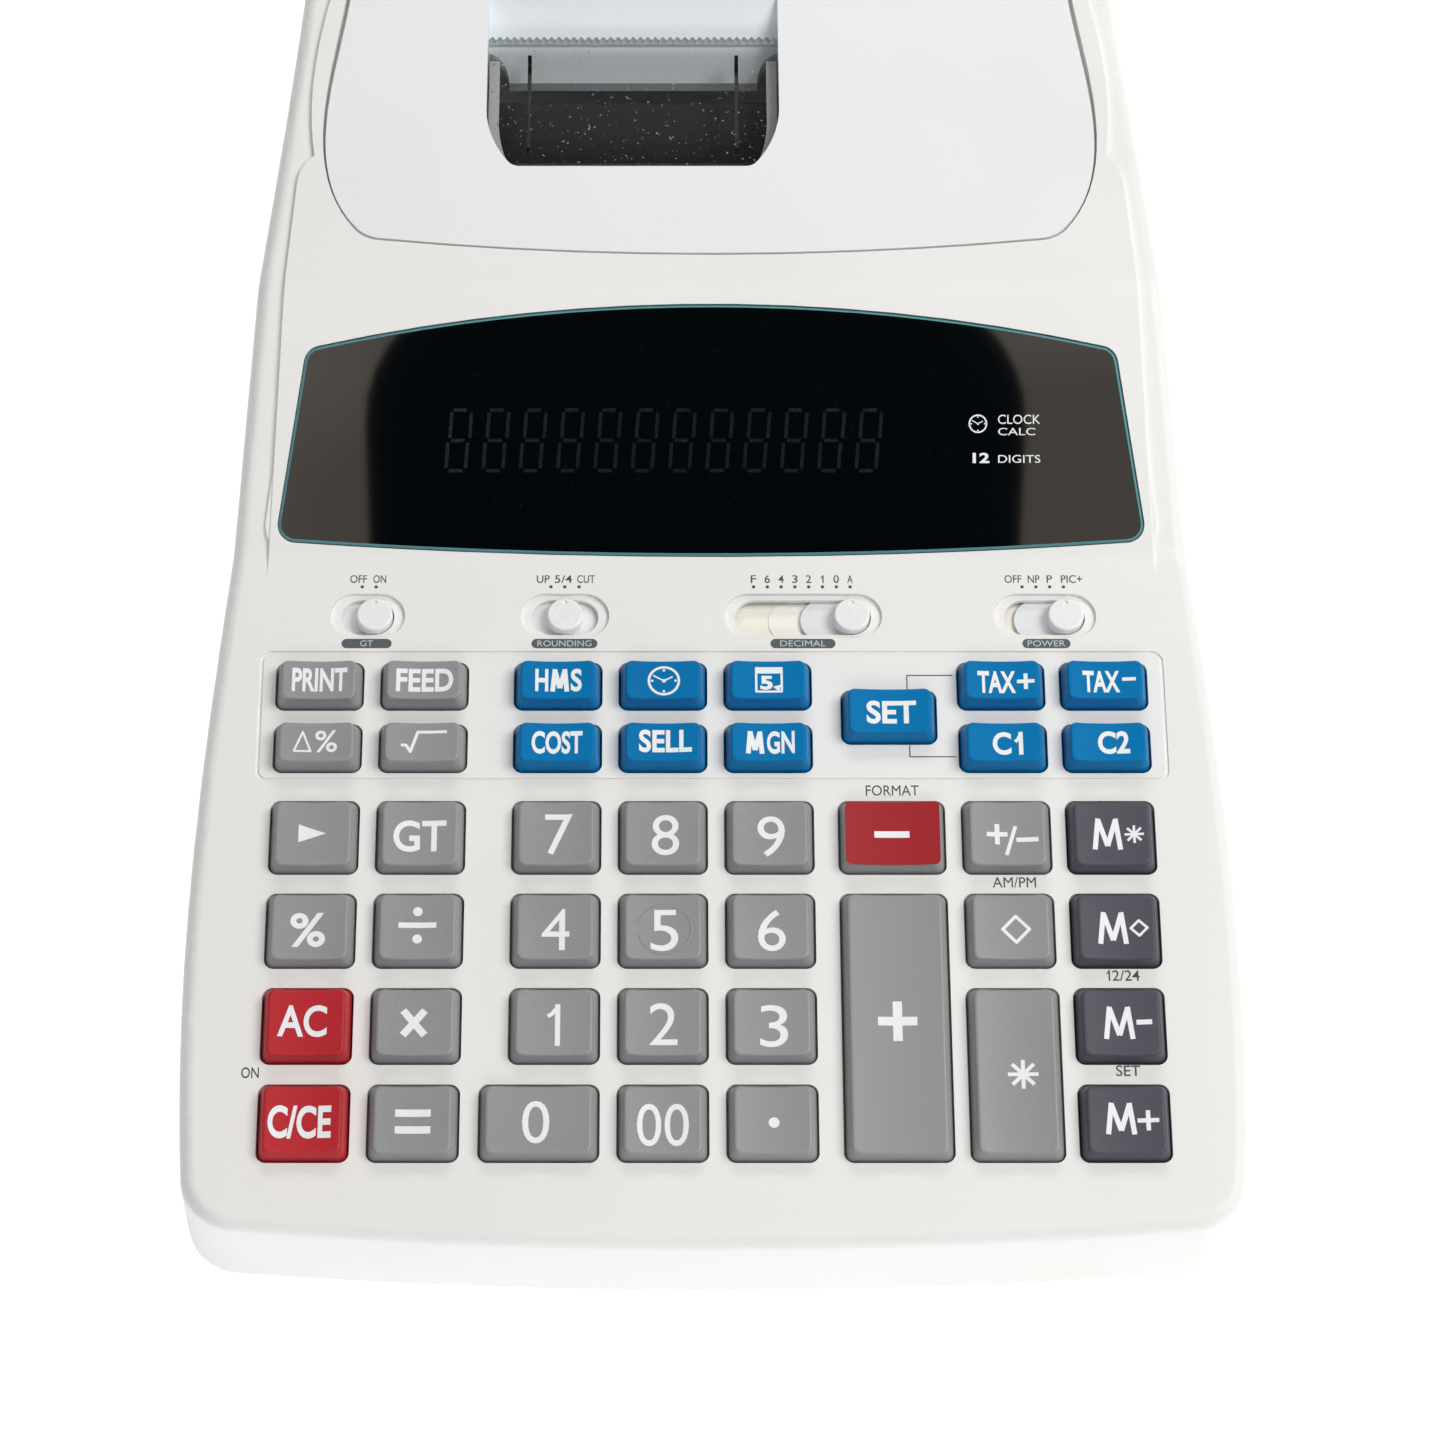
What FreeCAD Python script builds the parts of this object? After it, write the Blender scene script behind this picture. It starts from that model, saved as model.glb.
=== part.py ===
import FreeCAD, Part
import math
import os
from FreeCAD import Placement, Rotation, Vector

# Desk printing calculator.  Millimetres, +Z up, X to the right, -Y towards the person who uses it.
# The origin is on the table, under the middle of the body.

# ---------------------------------------------------------------- driving sizes
# keyboard
key_pitch_x = 21.0            # between columns inside one block of keys
key_pitch_y = 20.0            # between the rows of full-size keys
function_pitch_y = 13.8       # between the two rows of low function keys
left_block_gap = 5.8          # extra space between the left block and the number keys
wide_column_step = 24.2       # from the last number column to the wide column
memory_column_step = 22.6     # from the wide column to the next one
last_column_step = 20.6       # from there to the last column
function_row_gap = 2.1        # extra space between the full-size rows and the function rows
hole_width = 17.8
hole_depth = 16.0
function_hole_depth = 10.8
set_hole_width = 19.3
set_hole_depth = 12.1
subtract_hole_width = 21.3
total_hole_width = 18.3
zero_hole_width = 23.3
hole_corner_radius = 2.0
front_margin = 16.3           # front edge of the body to the first row, along the deck
side_margin = 15.6            # outer key to the widest point of the body
key_gap = 0.45                # cap to hole, all round
key_height = 3.2
function_key_height = 4.2
key_side_run = 1.0            # how far each sloping side leans in
key_front_run = 0.45
key_back_run = 1.0
key_dish = 0.6                # how deep the finger dish is
key_travel = 2.5

# slide switches
switch_line_gap = 10.6        # back edge of the function keys to the middle of the slides
knob_radius = 3.65
knob_gap = 0.3
knob_top = 0.8                # above the deck
position_pitch = 2.8          # one switch position to the next
leaf_half_length = 10.3
leaf_thickness = 0.8
dish_rim = 2.2
dish_rim_y = 1.1
dish_depth = 0.8
hood_foot_gap = 11.5          # middle of the slides to the foot of the display hood

# body
wall = 2.4
foot_height = 3.0
split_height = 15.0           # parting line of the two shells
deck_front_height = 24.75
deck_slope = 8.0
display_slope = 31.0
top_slope = 5.0
rear_slope = -6.0
display_run = 49.8            # foot to crest of the hood, seen from above
crest_to_cover = 7.2
cover_length = 71.8
rear_deck_length = 52.5
shoulder_drop = 1.0           # side shoulders below the display pad and the cover
pad_foot_inset = 7.8          # from the body's side to the raised pad, at the foot of the hood
pad_rear_inset = 5.2          # ... and at its rear end
pad_overrun = 5.0             # past the line where the cover is widest
pad_corner_radius = 9.5
foot_bend_radius = 14.0
crest_radius = 16.0
rear_bend_radius = 30.0
edge_round = 3.2
low_edge_round = 3.0          # where the walls meet the underside
front_undercut = 7.2          # the lower shell's front wall leans back by this much
front_bow = 4.5               # how far the front edge bows out in the middle
front_corner_radius = 11.0
rear_corner_radius = 16.0
front_taper = 2.0             # the body is this much narrower, each side, at its front corners
hood_taper = 5.2              # ... at the foot of the hood and a little behind it
cover_taper = 13.0
rear_taper = 19.5

# display
lens_thickness = 2.0
lens_gap = 0.25
lens_foot_half = 88.6
lens_top_half = 82.4
lens_foot_corner = 5.2        # up the slope from the foot of the hood
lens_foot_middle = 2.0
lens_top_corner = 44.2
lens_top_middle = 53.4
lens_corner_radius = 3.5
lens_ledge = 5.0

# printer
window_centre_x = -16.1
window_width = 61.2
window_neck_width = 49.8
window_front_gap = 21.8       # cover's front edge to the window's front edge
window_neck_run = 16.0
window_length = 33.6
window_corner_radius = 3.0
window_flange = 2.4
window_flange_thickness = 1.2
tooth_pitch = 1.53
tooth_height = 0.9
cover_gap = 0.5
cover_thickness = 2.4
cover_ledge = 3.5
cover_shoulder = 4.6          # the cover is this much narrower than its widest, near its front corners
cover_shoulder_run = 9.5
cover_front_half = 70.5
cover_front_bow = 4.0
cover_widest_half = 79.8
cover_rear_half = 76.0
cover_corner_radius = 7.0
hinge_radius = 3.4
hinge_pin_radius = 1.2
hinge_pin_length = 3.5
hinge_pin_clearance = 0.1
paper_well_length = 44.0      # window's front edge to the top of the paper ramp
well_wall = 1.6
ramp_drop = 11.5
ramp_run = 14.0
platen_radius = 8.0
platen_length = 60.0
platen_shaft_radius = 2.5
platen_clearance = 0.1
frame_plate = 2.0
platen_behind_window_front = 22.0
platen_below_top = 19.0
plate_gap = 6.0               # roller's end to the side plate
plates_in_front = 34.0
plates_behind = 15.0
drum_radius = 7.0
ink_radius = 5.5
motor_radius = 11.0
motor_length = 34.0

# paper roll holder
roll_space = 62.0
arm_width = 5.0
arm_thickness = 4.0
arm_length = 32.0
arm_gap = 0.5
holder_pin_radius = 1.6
holder_pin_reach = 4.0        # out of the arm, into the bed
pivot_from_rear = 8.0
pivot_below_top = 3.4
bed_margin = 7.0              # bed beside the arms, each side
bed_depth = 8.5
scoop_radius = 9.0            # finger scoop at the cross bar
feed_slot_depth = 5.0

# fasteners and feet
foot_radius = 7.0
foot_seat = 1.0
screw_radius = 1.5
screw_head_radius = 2.8
screw_head_height = 1.9
screw_reach = 3.2             # past the top of the post, into the boss
boss_radius = 3.5

# louvres under the printer, mains transformer
louvre_count = 9
louvre_pitch = 6.0
louvre_width = 2.4
louvre_length = 34.0
core_half_width = 20.0
core_half_depth = 17.0
core_height = 34.0

# ---------------------------------------------------------------- worked-out layout
column_steps = [0, key_pitch_x, key_pitch_x + left_block_gap, key_pitch_x, key_pitch_x,
                wide_column_step, memory_column_step, last_column_step]
column_span = sum(column_steps)
column_x = [sum(column_steps[:i + 1]) - column_span / 2 for i in range(len(column_steps))]
row_front = {6 - i: front_margin + i * key_pitch_y for i in range(4)}
row_front[2] = row_front[3] + key_pitch_y + function_row_gap
row_front[1] = row_front[2] + function_pitch_y
function_back = row_front[1] + function_hole_depth
slide_line = function_back + switch_line_gap
deck_length = slide_line + hood_foot_gap

body_half = column_span / 2 + hole_width / 2 + side_margin
deck_run = deck_length * math.cos(math.radians(deck_slope))
body_length = deck_run + display_run + crest_to_cover + cover_length + rear_deck_length
front_y = -body_length / 2
rear_y = body_length / 2
foot_y = front_y + deck_run
foot_z = deck_front_height + deck_run * math.tan(math.radians(deck_slope))
crest_y = foot_y + display_run
crest_z = foot_z + display_run * math.tan(math.radians(display_slope))
cover_front_y = crest_y + crest_to_cover
cover_rear_y = cover_front_y + cover_length
rear_break_z = crest_z + (cover_rear_y - crest_y) * math.tan(math.radians(top_slope))
floor_top = foot_height + wall

deck = Placement(Vector(0, front_y, deck_front_height), Rotation(Vector(1, 0, 0), deck_slope))
slope = Placement(Vector(0, foot_y, foot_z), Rotation(Vector(1, 0, 0), display_slope))


def top_z(y):
    """Height of the cover's surface above the table."""
    return crest_z + (y - crest_y) * math.tan(math.radians(top_slope))


def rear_z(y):
    """Height of the rear deck, which the paper holder lies in."""
    return rear_break_z - shoulder_drop + (y - cover_rear_y) * math.tan(math.radians(rear_slope))


# ---------------------------------------------------------------- small shape helpers
def box(x0, x1, y0, y1, z0, z1):
    return Part.makeBox(x1 - x0, y1 - y0, z1 - z0, Vector(x0, y0, z0))


def rod(radius, x0, x1, y, z):
    """A round bar along X."""
    return Part.makeCylinder(radius, x1 - x0, Vector(x0, y, z), Vector(1, 0, 0))


def post(radius, x, y, z0, z1):
    return Part.makeCylinder(radius, z1 - z0, Vector(x, y, z0), Vector(0, 0, 1))


def rounded_wire(width, depth, radius, x, y, z):
    """A rectangle with round corners, centred on x, y."""
    half_w, half_d = width / 2, depth / 2
    corners = [(1, -1, -90), (1, 1, 0), (-1, 1, 90), (-1, -1, 180)]
    edges = []
    ends = []
    for side_x, side_y, start in corners:
        centre = Vector(x + side_x * (half_w - radius), y + side_y * (half_d - radius), z)
        turn = [centre + Vector(radius * math.cos(math.radians(a)), radius * math.sin(math.radians(a)), 0)
                for a in (start, start + 45, start + 90)]
        ends.append(turn)
    for index, turn in enumerate(ends):
        edges.append(Part.Arc(*turn).toShape())
        edges.append(Part.LineSegment(turn[2], ends[(index + 1) % 4][0]).toShape())
    return Part.Wire(edges)


def rounded_block(width, depth, z0, z1, radius, x=0, y=0):
    return Part.Face(rounded_wire(width, depth, radius, x, y, z0)).extrude(Vector(0, 0, z1 - z0))


def stadium(half_length, radius, z0, z1, x, y):
    """A slot shape along X whose ends are half circles."""
    left, right = x - half_length + radius, x + half_length - radius
    edges = [Part.LineSegment(Vector(left, y - radius, z0), Vector(right, y - radius, z0)).toShape(),
             Part.Arc(Vector(right, y - radius, z0), Vector(right + radius, y, z0),
                      Vector(right, y + radius, z0)).toShape(),
             Part.LineSegment(Vector(right, y + radius, z0), Vector(left, y + radius, z0)).toShape(),
             Part.Arc(Vector(left, y + radius, z0), Vector(left - radius, y, z0),
                      Vector(left, y - radius, z0)).toShape()]
    return Part.Face(Part.Wire(edges)).extrude(Vector(0, 0, z1 - z0))


def placed(shape, placement):
    moved = shape.copy()
    moved.Placement = placement.multiply(moved.Placement)
    return moved


def offset_line(points, shift):
    """The open line of y, z points moved down by shift, square to itself."""
    moved = []
    for (y0, z0), (y1, z1) in zip(points, points[1:]):
        length = math.hypot(y1 - y0, z1 - z0)
        normal = ((z1 - z0) / length * shift, -(y1 - y0) / length * shift)
        moved.append(((y0 + normal[0], z0 + normal[1]), (y1 + normal[0], z1 + normal[1])))
    result = [moved[0][0]]
    for (a, b), (c, d) in zip(moved, moved[1:]):
        result.append(line_crossing(a, b, c, d))
    result.append(moved[-1][1])
    return result


def line_crossing(a, b, c, d):
    first = (b[0] - a[0], b[1] - a[1])
    second = (d[0] - c[0], d[1] - c[1])
    cross = first[0] * second[1] - first[1] * second[0]
    share = ((c[0] - a[0]) * second[1] - (c[1] - a[1]) * second[0]) / cross
    return (a[0] + first[0] * share, a[1] + first[1] * share)


def below_line(points, radii, shift=0.0, half=300.0):
    """Everything under a bent line of y, z points, as wide as the body and more."""
    line = offset_line(points, shift)
    edges = []
    last = Vector(-half, *line[0])
    for index in range(1, len(line) - 1):
        before, corner, after = [Vector(-half, *line[index + step]) for step in (-1, 0, 1)]
        back = (before - corner).normalize()
        ahead = (after - corner).normalize()
        inner = back.getAngle(ahead)
        convex = back.cross(ahead).x > 0
        radius = radii[index - 1] - shift if convex else radii[index - 1] + shift
        reach = radius / math.tan(inner / 2)
        start, end = corner + back * reach, corner + ahead * reach
        middle = (back + ahead).normalize()
        centre = corner + middle * (radius / math.sin(inner / 2))
        edges.append(Part.LineSegment(last, start).toShape())
        edges.append(Part.Arc(start, centre - middle * radius, end).toShape())
        last = end
    final = Vector(-half, *line[-1])
    low_end, low_start = Vector(-half, line[-1][0], -20), Vector(-half, line[0][0], -20)
    edges.append(Part.LineSegment(last, final).toShape())
    edges.append(Part.LineSegment(final, low_end).toShape())
    edges.append(Part.LineSegment(low_end, low_start).toShape())
    edges.append(Part.LineSegment(low_start, Vector(-half, *line[0])).toShape())
    return Part.Face(Part.Wire(edges)).extrude(Vector(2 * half, 0, 0))


# ---------------------------------------------------------------- body outline
over = 30.0     # how far cutting shapes run past the body
line_start = (front_y - over, deck_front_height - over * math.tan(math.radians(deck_slope)))
bend_radii = [foot_bend_radius, crest_radius, rear_bend_radius]


def hood_line():
    """Deck, display slope, top and rear deck, through the display pad and the cover."""
    end_y = rear_y + over
    end_z = rear_break_z + (end_y - cover_rear_y) * math.tan(math.radians(rear_slope))
    return [line_start, (foot_y, foot_z), (crest_y, crest_z), (cover_rear_y, rear_break_z), (end_y, end_z)]


def shoulder_line():
    """The same line with the hood lowered, for the shoulders beside the display and the cover."""
    lowered = offset_line(hood_line(), shoulder_drop)
    foot = line_crossing(line_start, (foot_y, foot_z), lowered[1], lowered[2])
    return [line_start, foot] + lowered[2:]


side_stations = [(0.0, front_taper), (70.0, 0.0), (deck_run, hood_taper),
                 (deck_run + display_run + crest_to_cover + window_front_gap, cover_taper),
                 (body_length, rear_taper)]


def plan_prism(inset, z0, z1):
    """The body's outline seen from above, moved in by inset, between two heights."""
    right = [Vector(body_half - taper - inset, front_y + s, z0) for s, taper in side_stations]
    right[0].y += inset + front_bow
    right[-1].y -= inset
    left = [Vector(-p.x, p.y, p.z) for p in right]
    sides = []
    for points in (right, left):
        curve = Part.BSplineCurve()
        curve.interpolate(points)
        sides.append(curve.toShape())
    front = Part.Arc(left[0], Vector(0, front_y + inset, z0), right[0]).toShape()
    rear = Part.LineSegment(right[-1], left[-1]).toShape()
    prism = Part.Face(Part.Wire([front, sides[0], rear, sides[1]])).extrude(Vector(0, 0, z1 - z0))
    prism = round_uprights(prism, front_corner_radius - inset, lambda y: y < front_y / 2)
    return round_uprights(prism, rear_corner_radius - inset, lambda y: y > rear_y / 2)


def is_upright(edge):
    start, end = edge.Vertexes[0].Point, edge.Vertexes[-1].Point
    return math.hypot(start.x - end.x, start.y - end.y) < 1e-4 and abs(start.z - end.z) > 1e-3


def round_uprights(solid, radius, where):
    edges = [e for e in solid.Edges if is_upright(e) and where(e.Vertexes[0].Point.y)]
    return solid.makeFillet(radius, edges)


def outline_edges(solid, inset, z_min):
    """The edges where the top meets the side walls."""
    wall_face = plan_prism(inset, 0, 200).Shells[0]
    found = []
    for edge in solid.Edges:
        if is_upright(edge) or edge.BoundBox.ZMin < z_min:
            continue
        first, last = edge.ParameterRange
        spots = [edge.valueAt(first + (last - first) * share) for share in (0.1, 0.5, 0.9)]
        if all(wall_face.distToShape(Part.Vertex(spot))[0] < 0.01 for spot in spots):
            found.append(edge)
    return found


def body_solid(inset, z0):
    """The body's outer form, or its hollow when inset is the wall."""
    solid = plan_prism(inset, z0, 150).common(below_line(shoulder_line(), bend_radii, inset))
    rim = outline_edges(solid, inset, z0 + 0.5)
    return solid.makeFillet(edge_round - inset * 0.9, rim)


# ---------------------------------------------------------------- outlines on the hood
def lens_prism(grow, w0, w1):
    """The display lens outline on the slope: two bowed long edges and four round corners."""
    foot = [Vector(side * (lens_foot_half + grow), lens_foot_corner - grow, w0) for side in (-1, 1)]
    top = [Vector(side * (lens_top_half + grow), lens_top_corner + grow, w0) for side in (-1, 1)]
    foot_arc = Part.Arc(foot[0], Vector(0, lens_foot_middle - grow, w0), foot[1]).toShape()
    top_arc = Part.Arc(top[1], Vector(0, lens_top_middle + grow, w0), top[0]).toShape()
    right = Part.LineSegment(foot[1], top[1]).toShape()
    left = Part.LineSegment(top[0], foot[0]).toShape()
    prism = Part.Face(Part.Wire([foot_arc, right, top_arc, left])).extrude(Vector(0, 0, w1 - w0))
    corners = [e for e in prism.Edges if is_upright(e)]
    return prism.makeFillet(max(lens_corner_radius + grow, 1.0), corners)


def cover_prism(grow, z0, z1):
    """The printer cover's outline: a bowed front edge, sides that widen and then run straight back."""
    right = [Vector(cover_front_half + grow, cover_front_y + cover_front_bow - grow, z0),
             Vector(cover_widest_half - cover_shoulder + grow, cover_front_y + cover_shoulder_run, z0),
             Vector(cover_widest_half + grow, cover_front_y + window_front_gap + 3, z0),
             Vector(cover_rear_half + grow, cover_rear_y + grow, z0)]
    left = [Vector(-p.x, p.y, p.z) for p in right]
    sides = []
    for points in (right, left):
        curve = Part.BSplineCurve()
        curve.interpolate(points)
        sides.append(curve.toShape())
    front = Part.Arc(left[0], Vector(0, cover_front_y - grow, z0), right[0]).toShape()
    rear = Part.LineSegment(right[-1], left[-1]).toShape()
    prism = Part.Face(Part.Wire([front, sides[0], rear, sides[1]])).extrude(Vector(0, 0, z1 - z0))
    front_corners = [e for e in prism.Edges if is_upright(e) and e.Vertexes[0].Point.y < crest_y + 30]
    return prism.makeFillet(max(cover_corner_radius + grow, 1.0), front_corners)


def pad_prism(z0, z1):
    """The raised pad around the display, a little inside the body's sides."""
    rear_half = body_half - cover_taper - pad_rear_inset
    foot_half = body_half - hood_taper - pad_foot_inset
    rear = cover_front_y + window_front_gap + pad_overrun
    front = foot_y - over
    spread = (foot_half - rear_half) / (rear - foot_y)
    front_half = foot_half + over * spread
    corners = [Vector(-front_half, front, z0), Vector(front_half, front, z0),
               Vector(rear_half, rear, z0), Vector(-rear_half, rear, z0)]
    prism = Part.Face(Part.makePolygon(corners + corners[:1])).extrude(Vector(0, 0, z1 - z0))
    return round_uprights(prism, pad_corner_radius, lambda y: y > foot_y)


def window_wire(grow, front_y_edge, rear_y_edge, z):
    """A tongue outline: straight sides that draw in towards a narrower front edge."""
    half, neck = window_width / 2 + grow, window_neck_width / 2 + grow
    bend_y = front_y_edge + window_neck_run
    x = window_centre_x
    swell = (half - neck) * 0.72
    right_arc = Part.Arc(Vector(x + neck, front_y_edge, z),
                         Vector(x + neck + swell, front_y_edge + window_neck_run * 0.42, z),
                         Vector(x + half, bend_y, z)).toShape()
    left_arc = Part.Arc(Vector(x - half, bend_y, z),
                        Vector(x - neck - swell, front_y_edge + window_neck_run * 0.42, z),
                        Vector(x - neck, front_y_edge, z)).toShape()
    return [Part.LineSegment(Vector(x - neck, front_y_edge, z), Vector(x + neck, front_y_edge, z)).toShape(),
            right_arc,
            Part.LineSegment(Vector(x + half, bend_y, z), Vector(x + half, rear_y_edge, z)).toShape(),
            Part.LineSegment(Vector(x + half, rear_y_edge, z), Vector(x - half, rear_y_edge, z)).toShape(),
            Part.LineSegment(Vector(x - half, rear_y_edge, z), Vector(x - half, bend_y, z)).toShape(),
            left_arc]


def window_prism(grow, z0, z1, rear):
    face = Part.Face(Part.Wire(window_wire(grow, window_front_y - grow, rear, z0)))
    prism = face.extrude(Vector(0, 0, z1 - z0))
    return round_uprights(prism, window_corner_radius + grow, lambda y: y < window_front_y + window_corner_radius)


window_front_y = cover_front_y + window_front_gap
window_rear_y = window_front_y + window_length
well_rear_y = window_front_y + paper_well_length
hinge_y = cover_rear_y - hinge_radius
hinge_z = top_z(hinge_y) - hinge_radius
pivot_y = rear_y - pivot_from_rear
pivot_z = rear_z(pivot_y) - pivot_below_top
arm_x = [window_centre_x + side * (roll_space + arm_width) / 2 for side in (-1, 1)]
feed_slot_y = cover_rear_y + 3.4
tray_front_y = feed_slot_y + feed_slot_depth + 1.4

# ---------------------------------------------------------------- keys
standard = (hole_width, hole_depth, key_height)
function = (hole_width, function_hole_depth, function_key_height)


def key_place(column, row, size):
    return (column_x[column - 1], row_front[row] + size[1] / 2)


def key_table():
    """Every key: name, centre on the deck, hole width, hole depth, height above the deck."""
    keys = []
    rows = {1: ["print", "feed", "time_format", "clock", "calendar", None, "tax_plus", "tax_minus"],
            2: ["margin_percent", "square_root", "cost", "sell", "margin", None, "convert_1", "convert_2"],
            3: ["shift_right", "grand_total", "7", "8", "9", None, "change_sign", "memory_total"],
            4: ["percent", "divide", "4", "5", "6", None, "subtotal", "memory_subtotal"],
            5: ["clear_all", "multiply", "1", "2", "3", None, None, "memory_subtract"],
            6: ["clear_entry", "equals", None, "double_zero", "decimal_point", None, None, "memory_add"]}
    for row, names in rows.items():
        size = function if row < 3 else standard
        for column, name in enumerate(names, start=1):
            if name:
                keys.append(("key_" + name, key_place(column, row, size)) + size)
    zero_x = column_x[2] - (zero_hole_width - hole_width) / 2
    keys.append(("key_0", (zero_x, row_front[6] + hole_depth / 2), zero_hole_width, hole_depth, key_height))
    two_rows = key_pitch_y + hole_depth
    three_rows = 2 * key_pitch_y + hole_depth
    keys.append(("key_add", (column_x[5], row_front[6] + three_rows / 2),
                 subtract_hole_width, three_rows, key_height))
    keys.append(("key_total", (column_x[6], row_front[6] + two_rows / 2),
                 total_hole_width, two_rows, key_height))
    keys.append(("key_subtract", (column_x[5], row_front[3] + hole_depth / 2),
                 subtract_hole_width, hole_depth, key_height))
    set_y = (row_front[2] + function_back) / 2
    keys.append(("key_set", (column_x[5], set_y), set_hole_width, set_hole_depth, function_key_height))
    return keys


guide_gap = 0.4               # flange to the deck's underside
flange_thickness = 1.2
flange_reach = 0.7            # past the hole's edge
flange_top = -wall - guide_gap
flange_bottom = flange_top - flange_thickness
cap_wall = 1.2
cap_roof = 1.5
plunger_radius = 2.2
plunger_bottom = -8.0
dome_gap = 0.3
sheet_top = -11.2
sheet_thickness = 1.0
board_thickness = 1.6


def key_solid(centre, width, depth, height):
    """A hollow cap with sloping sides, a finger dish, a retaining flange and a plunger."""
    x, y = centre
    base_w, base_d = width - 2 * key_gap, depth - 2 * key_gap
    radius = hole_corner_radius - key_gap
    top_w, top_d = base_w - 2 * key_side_run, base_d - key_front_run - key_back_run
    top_y = y + (key_front_run - key_back_run) / 2
    cap = Part.makeLoft([rounded_wire(base_w, base_d, radius, x, y, 0),
                         rounded_wire(top_w, top_d, radius, x, top_y, height)], True, True)
    dish_radius = (top_w / 2) ** 2 / (2 * key_dish) + key_dish / 2
    dish = Part.makeCylinder(dish_radius, depth * 2, Vector(x, y - depth, height + dish_radius - key_dish),
                             Vector(0, 1, 0))
    skirt = rounded_block(base_w, base_d, flange_bottom, 0, radius, x, y)
    flange_grow = 2 * (key_gap + flange_reach)
    flange = rounded_block(base_w + flange_grow, base_d + flange_grow, flange_bottom, flange_top, radius, x, y)
    roof = height - key_dish - cap_roof
    hollow = rounded_block(base_w - 2 * cap_wall - key_side_run, base_d - 2 * cap_wall - key_back_run,
                           flange_bottom - 1, roof, radius / 2, x, top_y)
    plunger = post(plunger_radius, x, y, plunger_bottom, roof + 0.3)
    return cap.cut(dish).fuse([skirt, flange]).cut(hollow).fuse(plunger).removeSplitter()


# ---------------------------------------------------------------- slide switches
slide_table = [("gt_slide", -69.5, 2, 1), ("rounding_slide", -29.6, 3, 1),
               ("decimal_slide", 18.6, 8, 7), ("power_slide", 67.5, 4, 3)]


def slide_travel(count):
    return (count - 1) * position_pitch


def slide_half(count):
    return slide_travel(count) / 2 + knob_radius + knob_gap


leaf_top = -dish_depth - 1.0 - 0.3
block_top = leaf_top - leaf_thickness - 0.4
stem_bottom = -9.0


def knob_solid(centre_x, count, chosen):
    """A round button on a sliding shutter leaf, with a stem down into the switch."""
    x = centre_x - slide_travel(count) / 2 + chosen * position_pitch
    button = post(knob_radius, x, slide_line, leaf_top, knob_top)
    button = button.makeFillet(0.5, [e for e in button.Edges if abs(e.BoundBox.ZMin - knob_top) < 1e-6])
    mark = post(0.45, x, slide_line + knob_radius - 1.0, knob_top - 0.3, knob_top + 1)
    leaf = stadium(leaf_half_length, knob_radius + 1.1, leaf_top - leaf_thickness, leaf_top, x, slide_line)
    stem = box(x - 1.5, x + 1.5, slide_line - 0.8, slide_line + 0.8, stem_bottom, leaf_top)
    return button.cut(mark).fuse([leaf, stem]).removeSplitter()


# ---------------------------------------------------------------- top housing
boss_places = [(side * (body_half - 10.2), y) for side in (-1, 1) for y in (front_y + 17.0, front_y + 122.0)]
boss_places += [(side * (body_half - rear_taper - 8.5), rear_y - 17.0) for side in (-1, 1)]
boss_top_gap = 0.2
post_top = 19.8
inlet_x = 60.0
inlet_width = 22.0
inlet_depth = 15.0
inlet_top = 21.0
inlet_gap = 0.3


def cover_band(top_shift, bottom_shift):
    """The layer between two depths under the hood's surface."""
    return below_line(hood_line(), bend_radii, top_shift).cut(below_line(hood_line(), bend_radii, bottom_shift))


def above_hood(shift):
    return box(-200, 200, front_y - over, rear_y + over, 0, 150).cut(below_line(hood_line(), bend_radii, shift))


def top_housing():
    outer = body_solid(0, split_height)
    pad = pad_prism(split_height, 150).common(below_line(hood_line(), bend_radii, 0))
    hollow = body_solid(wall, 0)
    ledge_depth = cover_thickness + 0.3
    rim = cover_prism(wall, 20, 150).common(cover_band(0, ledge_depth + 2.2))
    lens_frame = placed(lens_prism(3.0, -lens_thickness - 1.6, -0.3), slope)
    tray = tray_block()
    shell = outer.fuse(pad).cut(hollow).fuse([rim.cut(above_hood(0.0)), lens_frame, tray])
    shell = shell.fuse(bosses(outer))
    shell = shell.cut(key_holes()).cut(slide_cuts()).cut(placed(frame_groove(), deck))
    shell = shell.cut(placed(lens_prism(lens_gap, -lens_thickness, 5), slope))
    shell = shell.cut(placed(lens_prism(-lens_ledge, -20, 5), slope))
    shell = shell.cut(cover_prism(cover_gap, 40, 150).common(above_hood(ledge_depth)))
    shell = shell.cut(bay_opening())
    shell = shell.cut(hinge_cuts()).cut(holder_cuts())
    slot = rounded_block(window_width, feed_slot_depth, 40, 150, 2.0, window_centre_x,
                         feed_slot_y + feed_slot_depth / 2)
    notch = box(inlet_x - inlet_width / 2 - inlet_gap, inlet_x + inlet_width / 2 + inlet_gap,
                rear_y - inlet_depth - 5, rear_y + 5, 0, inlet_top + inlet_gap)
    return shell.cut([slot, notch]).removeSplitter()


def bay_opening():
    """The way into the printer under the cover."""
    front, rear = cover_front_y + cover_front_bow + cover_ledge, hinge_y - hinge_radius - 2.5
    bay = rounded_block(2 * (cover_front_half - cover_ledge), rear - front, 40, 150, 8.0, 0, (front + rear) / 2)
    half = window_width / 2 + well_wall + cover_gap
    well = box(window_centre_x - half, window_centre_x + half, rear - 10, well_rear_y + well_wall + cover_gap, 40, 150)
    return bay.fuse(well)


def tray_block():
    """A solid bed under the rear deck that the paper holder folds into."""
    width = roll_space + 2 * arm_width + 2 * bed_margin
    bed = box(window_centre_x - width / 2, window_centre_x + width / 2, tray_front_y, rear_y - wall / 2, 20, 150)
    line = [(y, z - shoulder_drop) for y, z in hood_line()]
    return bed.common(below_line(line, bend_radii, 0.2)).cut(below_line(line, bend_radii, bed_depth))


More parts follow.
